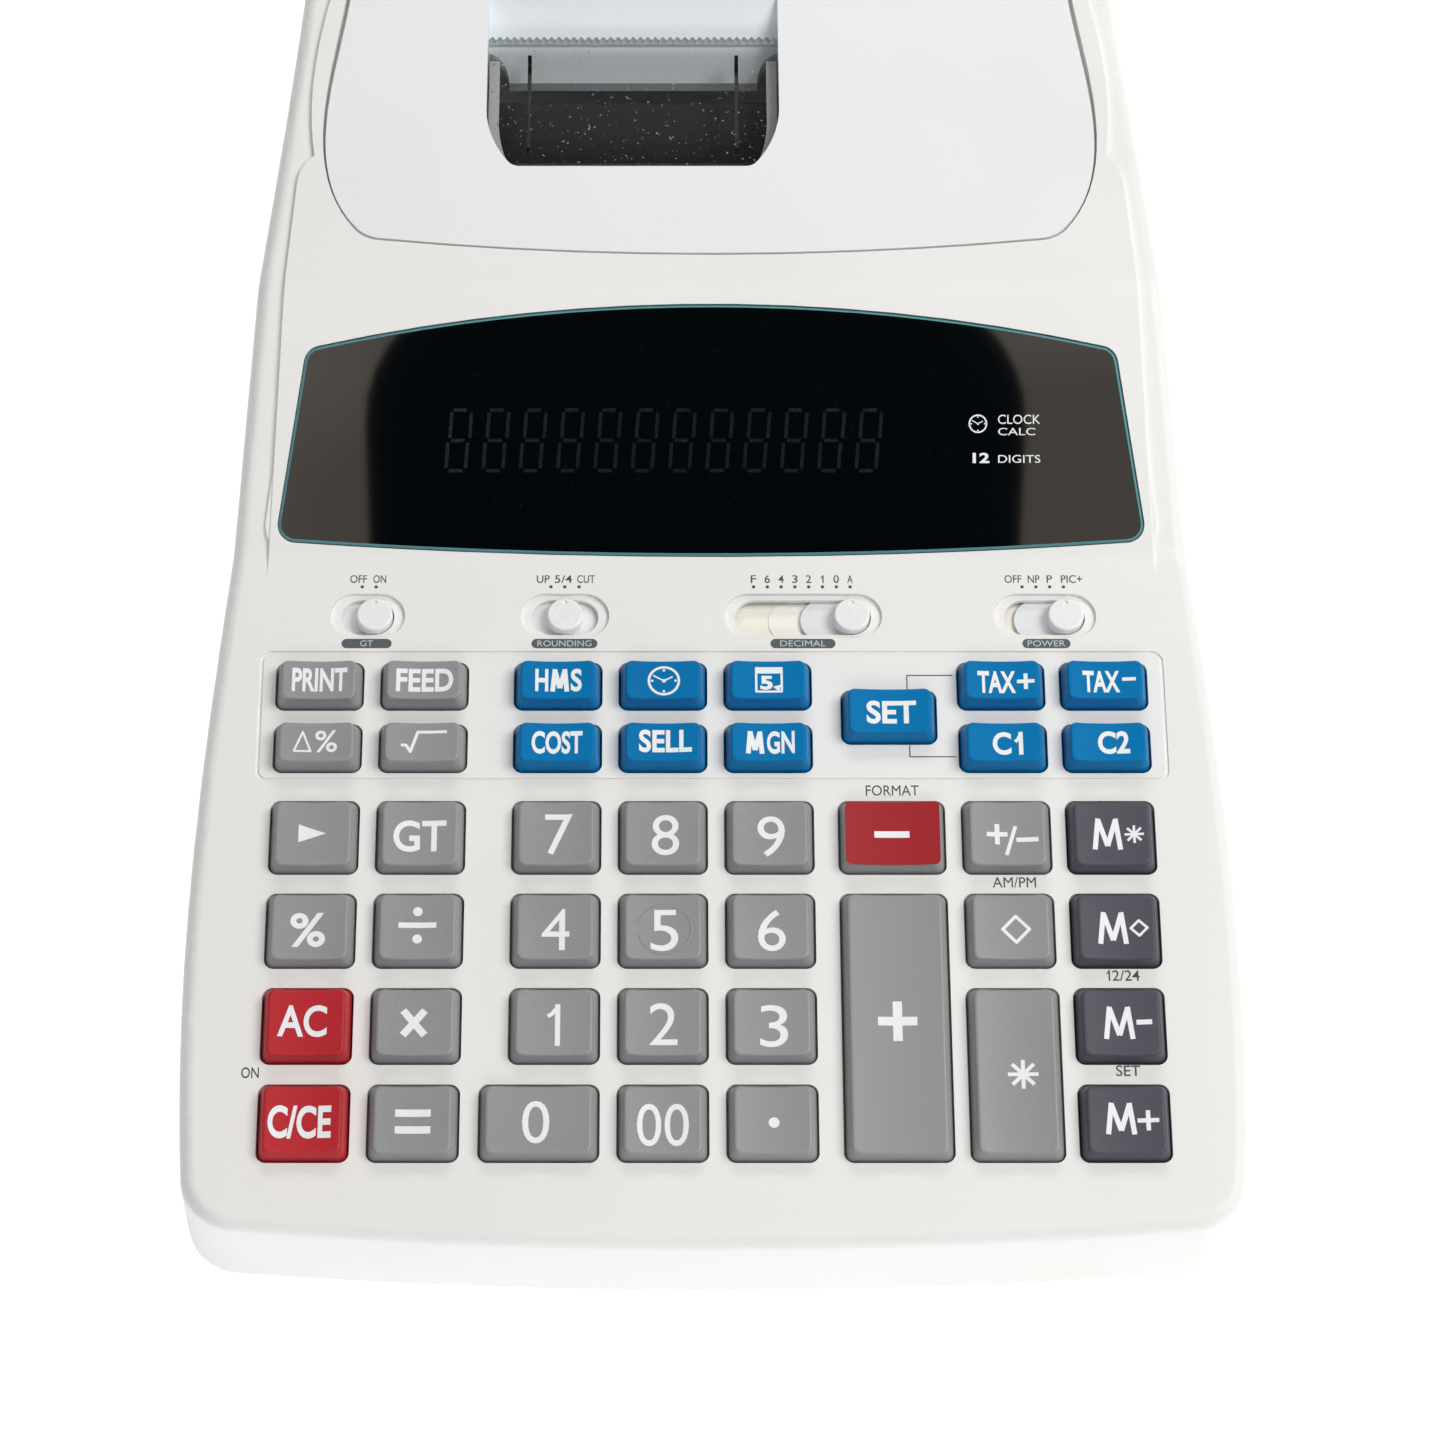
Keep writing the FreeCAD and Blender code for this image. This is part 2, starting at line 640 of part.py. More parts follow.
def holder_cuts():
    """Channels for the two arms and the cross bar, a finger scoop, and holes for the pivot pins."""
    low = pivot_z - arm_thickness / 2 - arm_gap
    front = pivot_y - arm_length - arm_thickness / 2 - arm_gap
    cuts = [box(x - arm_width / 2 - arm_gap, x + arm_width / 2 + arm_gap, front, rear_y + over, low, 150)
            for x in arm_x]
    cuts.append(box(arm_x[0], arm_x[1], front, front + arm_thickness + 2 * arm_gap, low, 150))
    cuts.append(Part.makeSphere(scoop_radius, Vector(window_centre_x, front + 6.0, low + 7.5)))
    for side, x in zip((-1, 1), arm_x):
        start = x + side * arm_width / 2
        cuts.append(rod(holder_pin_radius + hinge_pin_clearance, min(start, start + side * (holder_pin_reach + 0.5)),
                        max(start, start + side * (holder_pin_reach + 0.5)), pivot_y, pivot_z))
    return cuts[0].fuse(cuts[1:])


def hinge_cuts():
    """Room for the cover's hinge barrel, and the two holes that its pins turn in."""
    half = cover_rear_half + cover_gap
    room = rod(hinge_radius + cover_gap, -half, half, hinge_y, hinge_z)
    mouth = box(-half, half, hinge_y - hinge_radius - 2, hinge_y + hinge_radius + cover_gap, hinge_z, 150)
    reach = half + hinge_pin_length
    pins = rod(hinge_pin_radius + hinge_pin_clearance, -reach, reach, hinge_y, hinge_z)
    return room.fuse([mouth, pins])


def hinge_bearings():
    """Blocks at both ends of the cover's hinge."""
    start, end = cover_rear_half + cover_gap, cover_rear_half + cover_gap + hinge_pin_length + 2
    return [box(min(side * start, side * end), max(side * start, side * end), hinge_y - 4, hinge_y + 4,
                hinge_z - 4, hinge_z + 3) for side in (-1, 1)]


def bosses(outer):
    inner = below_line(shoulder_line(), bend_radii, wall / 2)
    made = []
    for x, y in boss_places:
        tube = post(boss_radius, x, y, post_top + boss_top_gap, 150).common(inner)
        made.append(tube.cut(post(screw_radius + 0.05, x, y, 0, post_top + screw_reach + 0.5)))
    made += [block.common(inner) for block in hinge_bearings()]
    return made


def key_holes():
    holes = [rounded_block(width, depth, -wall * 3, 20, hole_corner_radius, centre[0], centre[1])
             for name, centre, width, depth, height in key_table()]
    return placed(Part.makeCompound(holes), deck)


def slide_cuts():
    """For each slide: a shallow dish, the slot, and a pocket under the skin for the shutter leaf."""
    cuts = []
    for name, x, count, chosen in slide_table:
        half = slide_half(count)
        radius = knob_radius + knob_gap
        dish = stadium(half + dish_rim, radius + dish_rim_y, -dish_depth, 5, x, slide_line)
        slot = stadium(half, radius, -wall * 3, 5, x, slide_line)
        reach = slide_travel(count) / 2 + leaf_half_length + 0.6
        pocket = rounded_block(2 * reach, 2 * (radius + 1.6), -wall * 3, -dish_depth - 1.0, 3.0, x, slide_line)
        cuts.append(dish.fuse([slot, pocket]))
    return placed(Part.makeCompound(cuts), deck)


def frame_groove():
    """The engraved line around the function keys."""
    half = column_span / 2 + hole_width / 2 + 3.4
    front, back = row_front[2] - 1.9, function_back + 2.6
    outer = rounded_block(2 * half, back - front, -0.35, 1, 2.5, 0, (front + back) / 2)
    inner = rounded_block(2 * half - 1.6, back - front - 1.6, -1, 2, 1.7, 0, (front + back) / 2)
    return outer.cut(inner)


# ---------------------------------------------------------------- bottom housing
def undercut(shift):
    """What is taken off the lower front so that the wall leans back under the deck."""
    half = body_half + over
    bow = front_bow * (half / (body_half - front_taper)) ** 2
    wires = []
    for z, back in ((foot_height, front_undercut), (split_height, 0.0)):
        y = front_y + shift + back
        left, right = Vector(-half, y + bow, z), Vector(half, y + bow, z)
        far_left, far_right = Vector(-half, front_y - over, z), Vector(half, front_y - over, z)
        wires.append(Part.Wire([Part.Arc(left, Vector(0, y, z), right).toShape(),
                                Part.LineSegment(right, far_right).toShape(),
                                Part.LineSegment(far_right, far_left).toShape(),
                                Part.LineSegment(far_left, left).toShape()]))
    return Part.makeLoft(wires, True, True)


def bottom_housing():
    outer = plan_prism(0, foot_height, split_height).cut(undercut(0))
    low_edges = [e for e in outer.Edges if e.BoundBox.ZMax < foot_height + 0.01]
    outer = outer.makeFillet(low_edge_round, low_edges)
    tray = outer.cut(plan_prism(wall, floor_top, 50).cut(undercut(wall * 1.2)))
    inlet = box(inlet_x - inlet_width / 2, inlet_x + inlet_width / 2, rear_y - inlet_depth, rear_y - 0.2,
                floor_top - 1, inlet_top)
    socket = stadium(8.1, 4.3, 0, 12.0, 0, 0)
    socket.rotate(Vector(0, 0, 0), Vector(1, 0, 0), 90)
    socket.translate(Vector(inlet_x, rear_y + 0.5, inlet_centre_z))
    posts = [post(boss_radius, x, y, floor_top - 1, post_top) for x, y in boss_places]
    tray = tray.fuse([inlet] + posts).cut(socket)
    for x, y in boss_places:
        tray = tray.cut([post(screw_radius + 0.2, x, y, 0, post_top + 1),
                         post(screw_head_radius + 0.4, x, y, 0, foot_height + screw_head_height + 0.6)])
    for x, y in foot_places:
        tray = tray.cut(post(foot_radius + 0.2, x, y, 0, foot_height + foot_seat))
    for index in range(louvre_count):
        x = (index - (louvre_count - 1) / 2) * louvre_pitch
        tray = tray.cut(rounded_block(louvre_width, louvre_length, 0, 30, louvre_width / 2 - 0.1, x, rear_y - 60))
    return tray.removeSplitter()


inlet_centre_z = inlet_top - 2.0 - 4.3
foot_places = [(side * (body_half - inset), y) for side in (-1, 1)
               for inset, y in ((24.0, front_y + 20.0), (36.0, rear_y - 24.0))]


# ---------------------------------------------------------------- printer cover and tear window
def cover_slab():
    slab = cover_prism(0, 40, 150).common(cover_band(0, cover_thickness))
    slab = slab.common(box(-200, 200, 0, hinge_y, 0, 150))
    half = cover_rear_half - 0.6
    barrel = rod(hinge_radius, -half, half, hinge_y, hinge_z)
    lower = box(-half, half, hinge_y - 5, hinge_y, hinge_z, hinge_z + hinge_radius * 0.8)
    lower = lower.common(below_line(hood_line(), bend_radii, cover_thickness * 0.5))
    reach = half + hinge_pin_length
    pins = rod(hinge_pin_radius, -reach, reach, hinge_y, hinge_z)
    return slab.fuse([barrel, lower, pins])


def printer_cover():
    """The lid over the printer: a slab with a window opening, well walls and a paper ramp behind it."""
    slab = cover_slab()
    opening = window_prism(0, 40, 150, well_rear_y)
    collar_low = top_z(window_rear_y) - ramp_drop
    collar = window_prism(well_wall, collar_low, 150, well_rear_y + well_wall).cut(opening)
    collar = collar.common(box(-200, 200, window_rear_y - 3, well_rear_y + well_wall, 0, 150))
    collar = collar.common(below_line(hood_line(), bend_radii, 0.6))
    ramp = paper_ramp()
    return slab.fuse([collar, ramp]).cut(opening.cut(ramp)).removeSplitter()


def paper_ramp():
    """A sloping guide from deep under the window's toothed edge up to the cover's surface."""
    top_y, top_height = well_rear_y + 0.8, top_z(well_rear_y) - 0.1
    low_y, low_height = well_rear_y - ramp_run, top_height - ramp_drop
    half = window_width / 2 + 0.8
    thickness = 2.0
    corners = [Vector(window_centre_x - half, y, z) for y, z in
               ((low_y, low_height), (top_y, top_height), (top_y, top_height - thickness * 1.5),
                (low_y, low_height - thickness * 1.2))]
    ramp = Part.Face(Part.makePolygon(corners + corners[:1])).extrude(Vector(2 * half, 0, 0))
    for side in (-1, 1):
        x = window_centre_x + side * half
        trim = Part.makeCylinder(5.0, 40, Vector(x, low_y, low_height - 20), Vector(0, 0, 1))
        ramp = ramp.cut(trim)
    return ramp


def tear_window():
    """A smoked plate let into the cover, glued on by a flange, with teeth along its rear edge."""
    flat = 0.12
    plate = window_prism(-flat, 40, 150, window_rear_y - tooth_height).common(cover_band(0.15, cover_thickness))
    flange = window_prism(window_flange, 40, 150, window_rear_y - 4.0)
    flange = flange.common(cover_band(cover_thickness, cover_thickness + window_flange_thickness))
    ribs = []
    for side in (-1, 1):
        x = window_centre_x + side * (window_width / 2 - 8.8)
        rib = box(x - 0.4, x + 0.4, window_front_y + 7.6, window_rear_y - 3.0, 40, 150)
        ribs.append(rib.common(cover_band(cover_thickness - 0.2, cover_thickness + 3.0)))
    return plate.fuse([flange, window_teeth(flat)] + ribs).removeSplitter()


def window_teeth(flat):
    half = window_width / 2 - flat
    count = int(2 * half / tooth_pitch)
    step = 2 * half / count
    base_y, tip_y = window_rear_y - tooth_height, window_rear_y
    left = window_centre_x - half
    points = [Vector(left, base_y - 0.5, 40)]
    for index in range(count):
        points.append(Vector(left + index * step, base_y, 40))
        points.append(Vector(left + (index + 0.5) * step, tip_y, 40))
    points += [Vector(left + 2 * half, base_y, 40), Vector(left + 2 * half, base_y - 0.5, 40)]
    saw = Part.Face(Part.makePolygon(points + points[:1])).extrude(Vector(0, 0, 110))
    return saw.common(cover_band(0.15, 1.4))


# ---------------------------------------------------------------- inner parts
def display_lens():
    lens = lens_prism(0, -lens_thickness, 0)
    rim = [e for e in lens.Edges if abs(e.BoundBox.ZMin) < 1e-6 and abs(e.BoundBox.ZMax) < 1e-6]
    return placed(lens.makeChamfer(0.5, rim), slope)


def key_dome_sheet():
    """One rubber sheet with a hollow dome under every plunger."""
    width = column_span + hole_width - 1.0
    front, back = front_margin - 5.0, function_back + 1.5
    sheet = rounded_block(width, back - front, sheet_top - sheet_thickness, sheet_top, 4.0, 0, (front + back) / 2)
    domes, hollows = [], []
    top = plunger_bottom - dome_gap
    for name, (x, y), width, depth, height in key_table():
        domes.append(Part.makeCone(4.4, 2.9, top - sheet_top + 0.2, Vector(x, y, sheet_top - 0.2)))
        hollows.append(Part.makeCone(3.6, 2.1, top - sheet_top + sheet_thickness - 0.7,
                                     Vector(x, y, sheet_top - sheet_thickness)))
    return placed(sheet.fuse(domes).cut(Part.makeCompound(hollows)), deck)


def main_board():
    """The circuit board under the keys with its switch blocks, the display tube, mains transformer and inlet pins."""
    board_top = sheet_top - sheet_thickness
    front, back = front_margin - 8.0, slide_line + 7.0
    board = rounded_block(column_span + hole_width + 1.5, back - front, board_top - board_thickness, board_top,
                          3.0, 0, (front + back) / 2)
    solids = [placed(board, deck)]
    for name, x, count, chosen in slide_table:
        half = slide_travel(count) / 2
        block = stadium(slide_half(count) + 1.2, knob_radius + 1.2, board_top, block_top, x, slide_line)
        groove = box(x - half - 2.2, x + half + 2.2, slide_line - 1.4, slide_line + 1.4, stem_bottom - 0.6, 5)
        solids.append(placed(block.cut(groove), deck))
    chip_top = board_top - board_thickness
    for x, along, size in ((-30, 60, 18), (22, 84, 12), (60, 40, 8)):
        chip = box(x - size / 2, x + size / 2, along - size / 2, along + size / 2, chip_top - 2.2, chip_top)
        solids.append(placed(chip, deck))
    tube = rounded_block(116, 26, -13.0, -6.5, 2.5, -8, 26)
    riser = box(-76, 60, 9, 46, -14.6, -13.0)
    solids += [placed(tube, slope), placed(riser, slope)]
    core_x, core_y = body_half - cover_taper - 32, window_front_y + 12
    solids.append(box(core_x - core_half_width, core_x + core_half_width, core_y - core_half_depth,
                      core_y + core_half_depth, floor_top, floor_top + core_height))
    for side in (-1, 1):
        start = core_y + side * core_half_depth
        solids.append(box(core_x - 13, core_x + 13, min(start, start + side * 7), max(start, start + side * 7),
                          floor_top + 7, floor_top + 27))
    for side in (-1, 1):
        solids.append(Part.makeCylinder(1.2, 9.0, Vector(inlet_x + side * 4.3, rear_y - 11.5, inlet_centre_z),
                                        Vector(0, 1, 0)))
    return Part.makeCompound(solids)


platen_y = window_front_y + platen_behind_window_front
platen_z = top_z(platen_y) - platen_below_top


def printer_frame():
    """Two side plates, a base, the print drum, the ink roller and the motor that drives them."""
    left = window_centre_x - platen_length / 2 - plate_gap - frame_plate
    right = window_centre_x + platen_length / 2 + plate_gap
    front, back = platen_y - plates_in_front, platen_y + plates_behind
    top = platen_z + 4.0
    plates = [box(x, x + frame_plate, front, back, floor_top, top) for x in (left, right)]
    bearing = rod(platen_shaft_radius + platen_clearance, left - 5, right + 5 + frame_plate, platen_y, platen_z)
    plates = [plate.cut(bearing) for plate in plates]
    base = box(left + frame_plate, right, front, back, floor_top, floor_top + frame_plate)
    drum_y = platen_y - platen_radius - drum_radius - 0.6
    drum = rod(drum_radius, left + frame_plate, right, drum_y, platen_z)
    ink = rod(ink_radius, left + frame_plate, right, drum_y - 11.6, platen_z + 4.8)
    motor = rod(motor_radius, left + frame_plate, left + frame_plate + motor_length,
                platen_y - 12, floor_top + frame_plate + motor_radius + 2.0)
    bar = box(left + frame_plate, right, front + 2, front + 6, floor_top + 22, floor_top + 26)
    return Part.makeCompound(plates + [base, drum, ink, motor, bar])


def platen_roller():
    half = platen_length / 2
    roller = rod(platen_radius, window_centre_x - half, window_centre_x + half, platen_y, platen_z)
    reach = half + plate_gap + frame_plate + 2
    shaft = rod(platen_shaft_radius, window_centre_x - reach, window_centre_x + reach, platen_y, platen_z)
    return roller.fuse(shaft).removeSplitter()


def paper_holder():
    """Two arms and a cross bar that swing up and back to carry the paper roll."""
    half = arm_thickness / 2
    arms = []
    for x in arm_x:
        arm = box(x - arm_width / 2, x + arm_width / 2, pivot_y - arm_length, pivot_y, pivot_z - half, pivot_z + half)
        arms.append(arm)
        for y in (pivot_y - arm_length, pivot_y):
            arms.append(rod(half, x - arm_width / 2, x + arm_width / 2, y, pivot_z))
    bar = rod(half, arm_x[0], arm_x[1], pivot_y - arm_length, pivot_z)
    pins = [rod(holder_pin_radius, min(x, x + side * (arm_width / 2 + holder_pin_reach)),
                max(x, x + side * (arm_width / 2 + holder_pin_reach)),
                pivot_y, pivot_z) for side, x in zip((-1, 1), arm_x)]
    return arms[0].fuse(arms[1:] + [bar] + pins).removeSplitter()


def rubber_feet():
    feet = []
    for x, y in foot_places:
        foot = post(foot_radius, x, y, 0, foot_height + foot_seat)
        feet.append(foot.makeFillet(0.8, [e for e in foot.Edges if e.BoundBox.ZMax < 0.01]))
    return Part.makeCompound(feet)


def screws():
    made = []
    for x, y in boss_places:
        seat = foot_height + screw_head_height + 0.6
        head = post(screw_head_radius, x, y, seat - screw_head_height, seat)
        slots = [box(x - 1.8, x + 1.8, y - 0.35, y + 0.35, seat - screw_head_height - 1, seat - screw_head_height + 0.9),
                 box(x - 0.35, x + 0.35, y - 1.8, y + 1.8, seat - screw_head_height - 1, seat - screw_head_height + 0.9)]
        shank = post(screw_radius, x, y, seat, post_top + screw_reach)
        made.append(head.cut(slots).fuse(shank).removeSplitter())
    return Part.makeCompound(made)


# ---------------------------------------------------------------- write every piece
def all_nodes():
    nodes = {"top_housing": top_housing(), "bottom_housing": bottom_housing(),
             "printer_cover": printer_cover(), "tear_window": tear_window(),
             "display_lens": display_lens(), "key_dome_sheet": key_dome_sheet(),
             "main_board": main_board(), "printer_frame": printer_frame(),
             "platen_roller": platen_roller(), "paper_holder": paper_holder(),
             "rubber_feet": rubber_feet(), "screws": screws()}
    for name, centre, width, depth, height in key_table():
        nodes[name] = placed(key_solid(centre, width, depth, height), deck)
    for name, x, count, chosen in slide_table:
        nodes[name + "_knob"] = placed(knob_solid(x, count, chosen), deck)
    return nodes


os.makedirs("parts", exist_ok=True)
for node_name, shape in all_nodes().items():
    shape.exportStep("parts/" + node_name + ".step")
    print(node_name, "solids", len(shape.Solids), "valid", shape.isValid(), "volume", round(shape.Volume))
print("hinge", round(hinge_y, 3), round(hinge_z, 3), "pivot", round(pivot_y, 3), round(pivot_z, 3),
      "platen", round(platen_y, 3), round(platen_z, 3), "length", round(body_length, 2))
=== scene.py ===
# %% [markdown]
# # A desk printing calculator
#
# A printing calculator is a wedge of moulded plastic with four things on it: a keyboard, a row of slide
# switches, a dark display window, and a printer under a lid at the back. The working shape comes from a
# CAD model with real joints, so every key can be pressed and the lid can be opened. This lesson loads that
# model, gives its mouldings their finish, builds the parts the eye goes to first, and lights the result.

# %% The CAD model
import math

import bmesh
import bpy
from mathutils import Matrix, Vector


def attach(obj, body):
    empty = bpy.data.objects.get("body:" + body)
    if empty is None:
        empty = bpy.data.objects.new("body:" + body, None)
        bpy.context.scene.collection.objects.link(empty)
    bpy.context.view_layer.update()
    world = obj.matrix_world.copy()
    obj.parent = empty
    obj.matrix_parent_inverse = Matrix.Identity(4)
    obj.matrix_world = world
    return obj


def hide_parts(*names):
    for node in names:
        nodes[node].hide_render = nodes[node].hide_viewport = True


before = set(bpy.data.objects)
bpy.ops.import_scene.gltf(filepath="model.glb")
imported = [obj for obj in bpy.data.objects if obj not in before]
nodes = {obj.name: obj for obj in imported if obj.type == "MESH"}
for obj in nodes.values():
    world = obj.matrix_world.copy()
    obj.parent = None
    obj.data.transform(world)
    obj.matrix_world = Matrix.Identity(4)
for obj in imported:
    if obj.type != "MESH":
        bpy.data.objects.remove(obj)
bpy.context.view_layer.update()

# %% [markdown]
# ## The two planes everything lies on
#
# The keyboard lies on a deck that rises eight degrees from front to back, and the display lies on a hood
# that rises thirty-one. Lettering and key caps are easiest to make flat, round their own centre, and then
# to lay on one of these planes, so each plane gets a matrix. All the sizes here are in millimetres, and a
# piece is scaled to metres as its last step.

# %% Planes
MM = 0.001
FRONT_Y = -162.494
DECK = Matrix.Translation((0, FRONT_Y, 24.75)) @ Matrix.Rotation(math.radians(8), 4, "X")
HOOD = Matrix.Translation((0, -18.806, 44.944)) @ Matrix.Rotation(math.radians(31), 4, "X")
print("deck starts at", DECK.translation[:], "and the hood at", HOOD.translation[:])

# %% [markdown]
# ## Colour and nodes
#
# Paint and plastic colours are picked as sRGB hex values, as on a screen. Shaders work in linear light, so
# one function turns one into the other. A second small function adds a node with its settings and links;
# it keeps each material below short enough to read as a recipe.


# %% Colour and node helpers
def linear(hex_code):
    """The linear colour of an sRGB hex value."""
    parts = [int(hex_code[i:i + 2], 16) / 255 for i in (1, 3, 5)]
    return [p / 12.92 if p <= 0.04045 else ((p + 0.055) / 1.055) ** 2.4 for p in parts] + [1.0]


def add(tree, kind, links=None, **settings):
    """Adds a node. Keys of links are input names or numbers, and their values are sockets or plain values."""
    made = tree.nodes.new(kind)
    for name, value in settings.items():
        setattr(made, name, value)
    for name, value in (links or {}).items():
        if isinstance(value, bpy.types.NodeSocket):
            tree.links.new(value, made.inputs[name])
        else:
            made.inputs[name].default_value = value
    return made


def per_mm(size):
    """The scale of a pattern whose features are this many millimetres across."""
    return 1 / (size * MM)


def two_tones(tree, value, first, second, start=0.0, end=1.0):
    """The colour of a ramp from one sRGB colour to another, as a value goes from start to end."""
    ramp = add(tree, "ShaderNodeValToRGB", {"Fac": value})
    for stop, position, colour in zip(ramp.color_ramp.elements, (start, end), (first, second)):
        stop.position = position
        stop.color = linear(colour)
    return ramp.outputs["Color"]


print("white is", linear("#FFFFFF"))

# %% [markdown]
# ## Moulded plastic
#
# The shells and the keys are ABS, injection moulded in a tool whose steel was given a fine spark texture.
# That gives the eye three things: a matte surface with a soft, wide highlight, a faint grain you only see
# close up, and slow changes of tone where the plastic flowed. One recipe covers all of them. The grain
# drives a bump and a little roughness, and a slow pattern mixes two nearly equal colours.


# %% Moulded plastic
def moulded(name, colour, second, roughness, grain=0.35, depth=0.02, drift=45.0, gloss=0.5):
    """ABS from a textured tool: colour and second are its two tones, grain is the texture's size in mm."""
    material = bpy.data.materials.new(name)
    material.use_nodes = True
    tree = material.node_tree
    shader = tree.nodes["Principled BSDF"]
    place = add(tree, "ShaderNodeTexCoord").outputs["Object"]
    grains = add(tree, "ShaderNodeTexNoise", {"Vector": place, "Scale": per_mm(grain), "Detail": 3.0,
                                              "Roughness": 0.6})
    flow = add(tree, "ShaderNodeTexNoise", {"Vector": place, "Scale": per_mm(drift), "Detail": 2.0})
    mixed = add(tree, "ShaderNodeMath", {0: grains.outputs["Fac"], 1: flow.outputs["Fac"]}, operation="ADD")
    tree.links.new(two_tones(tree, mixed.outputs[0], second, colour, 0.75, 1.25), shader.inputs["Base Color"])
    rough = add(tree, "ShaderNodeMapRange", {"Value": grains.outputs["Fac"], "From Min": 0.3, "From Max": 0.7,
                                             "To Min": roughness - 0.05, "To Max": roughness + 0.06})
    tree.links.new(rough.outputs["Result"], shader.inputs["Roughness"])
    bump = add(tree, "ShaderNodeBump", {"Height": grains.outputs["Fac"], "Strength": 0.35, "Distance": depth * MM})
    tree.links.new(bump.outputs["Normal"], shader.inputs["Normal"])
    shader.inputs["IOR"].default_value = 1.53
    shader.inputs["Specular IOR Level"].default_value = gloss
    return material


shell_abs = moulded("warm_white_spark_textured_ABS", "#F0EFEB", "#ECEBE7", 0.48)
cover_abs = moulded("cool_white_satin_ABS", "#EEEFEF", "#EBECEC", 0.42, grain=0.5, depth=0.012)
knob_abs = moulded("polished_white_ABS", "#F6F7F6", "#F3F4F3", 0.24, grain=1.2, depth=0.0008)
ramp_abs = moulded("blue_white_paper_guide_ABS", "#EFF5F8", "#E9F0F4", 0.40)
leaf_abs = moulded("cool_grey_shutter_ABS", "#E6E8E9", "#E1E3E4", 0.40)
ivory_abs = moulded("ivory_shutter_ABS", "#F9F6E9", "#F5F2E3", 0.40)
pale_ivory_abs = moulded("paler_ivory_shutter_ABS", "#FAF8EF", "#F7F4EA", 0.40)
grey_keys = moulded("mid_grey_textured_ABS", "#939495", "#898A8C", 0.40, grain=0.30, depth=0.03)
blue_keys = moulded("bright_blue_textured_ABS", "#0078B4", "#006DA8", 0.38, grain=0.30, depth=0.03, gloss=0.08)
red_keys = moulded("signal_red_textured_ABS", "#BE2630", "#B21F29", 0.38, grain=0.30, depth=0.03, gloss=0.22)
deep_red_print = moulded("deep_red_pad_printed_lacquer", "#A31F27", "#9A1A22", 0.42, grain=0.30, depth=0.02, gloss=0.22)
dark_keys = moulded("charcoal_textured_ABS", "#52525C", "#494953", 0.40, grain=0.30, depth=0.03, gloss=0.22)
legend_ink = moulded("white_pad_printing_ink", "#F3F5F6", "#ECEFF1", 0.45, grain=0.4, depth=0.006)
dark_ink = moulded("dark_grey_pad_printing_ink", "#3C474A", "#343F42", 0.5, grain=0.4, depth=0.006)
pill_ink = moulded("slate_pad_printing_ink", "#4B5457", "#434C4F", 0.5, grain=0.4, depth=0.006)
pale_ink = moulded("pale_grey_pad_printing_ink", "#C6CCCC", "#BEC4C4", 0.5, grain=0.4, depth=0.006)
print("mouldings and inks ready")

# %% [markdown]
# ## Clear and smoked acrylic
#
# The display window is cast acrylic, polished on its face and tinted so dark that it looks black until the
# digits light up. Its look is nearly all reflection: a black base with the mirror-smooth coat of IOR 1.49.
# The tear window over the printer is a paler smoked plastic you can see into, so each of its surfaces lets
# most of the light straight through, and specks of dust on it catch the rest.


# %% Acrylics
def acrylic(name, colour, roughness, clear, speck):
    """Polished acrylic: clear is the share of light one surface lets through, and speck how much dust shows."""
    material = bpy.data.materials.new(name)
    material.use_nodes = True
    tree = material.node_tree
    shader = tree.nodes["Principled BSDF"]
    place = add(tree, "ShaderNodeTexCoord").outputs["Object"]
    dust = add(tree, "ShaderNodeTexNoise", {"Vector": place, "Scale": per_mm(0.8), "Detail": 1.0})
    spots = add(tree, "ShaderNodeMapRange", {"Value": dust.outputs["Fac"], "From Min": 0.70, "From Max": 0.76,
                                             "To Min": 0.0, "To Max": speck})
    tree.links.new(two_tones(tree, spots.outputs["Result"], colour, "#D8D8D4"), shader.inputs["Base Color"])
    rough = add(tree, "ShaderNodeMath", {0: spots.outputs["Result"], 1: roughness}, operation="ADD", use_clamp=True)
    tree.links.new(rough.outputs[0], shader.inputs["Roughness"])
    if clear:
        solid = add(tree, "ShaderNodeMath", {0: spots.outputs["Result"], 1: 1 - clear}, operation="ADD",
                    use_clamp=True)
        tree.links.new(solid.outputs[0], shader.inputs["Alpha"])
    waves = add(tree, "ShaderNodeTexNoise", {"Vector": place, "Scale": per_mm(60), "Detail": 1.0})
    bump = add(tree, "ShaderNodeBump", {"Height": waves.outputs["Fac"], "Strength": 0.1, "Distance": 0.05 * MM})
    tree.links.new(bump.outputs["Normal"], shader.inputs["Normal"])
    shader.inputs["IOR"].default_value = 1.49
    return material


cut_edge = acrylic("cut_edge_of_tinted_acrylic", "#5E9FA6", 0.12, 0.0, 0.0)
lens_acrylic = acrylic("black_tinted_polished_acrylic", "#05090C", 0.03, 0.0, 0.006)
smoked_acrylic = acrylic("smoked_clear_acrylic", "#232422", 0.08, 0.80, 0.5)
frosted_acrylic = acrylic("frosted_smoked_acrylic", "#EEF2EE", 0.35, 0.06, 0.0)
# the teeth's paler, partly opaque colour is a painted highlight of the light their serrated edge catches
teeth_painted_highlight = acrylic("acrylic_teeth_with_painted_highlight", "#B9C6C6", 0.25, 0.25, 0.0)
rib_acrylic = acrylic("dark_acrylic_rib", "#101416", 0.25, 0.0, 0.0)
ghost_ink = moulded("unlit_phosphor_seen_through_tint", "#0A1B21", "#08161B", 0.12, grain=0.4, depth=0.001)
print("acrylics ready")

# %% [markdown]
# ## Rubber, steel and circuit board
#
# The small hidden things matter when the lid is open. The platen is ground rubber, dull and finely
# scratched round its axis. The printer's plates are coated steel, and the screws are zinc plated, which is
# a metal with a brushed-looking, slightly uneven gloss. The board is green solder mask over copper tracks.


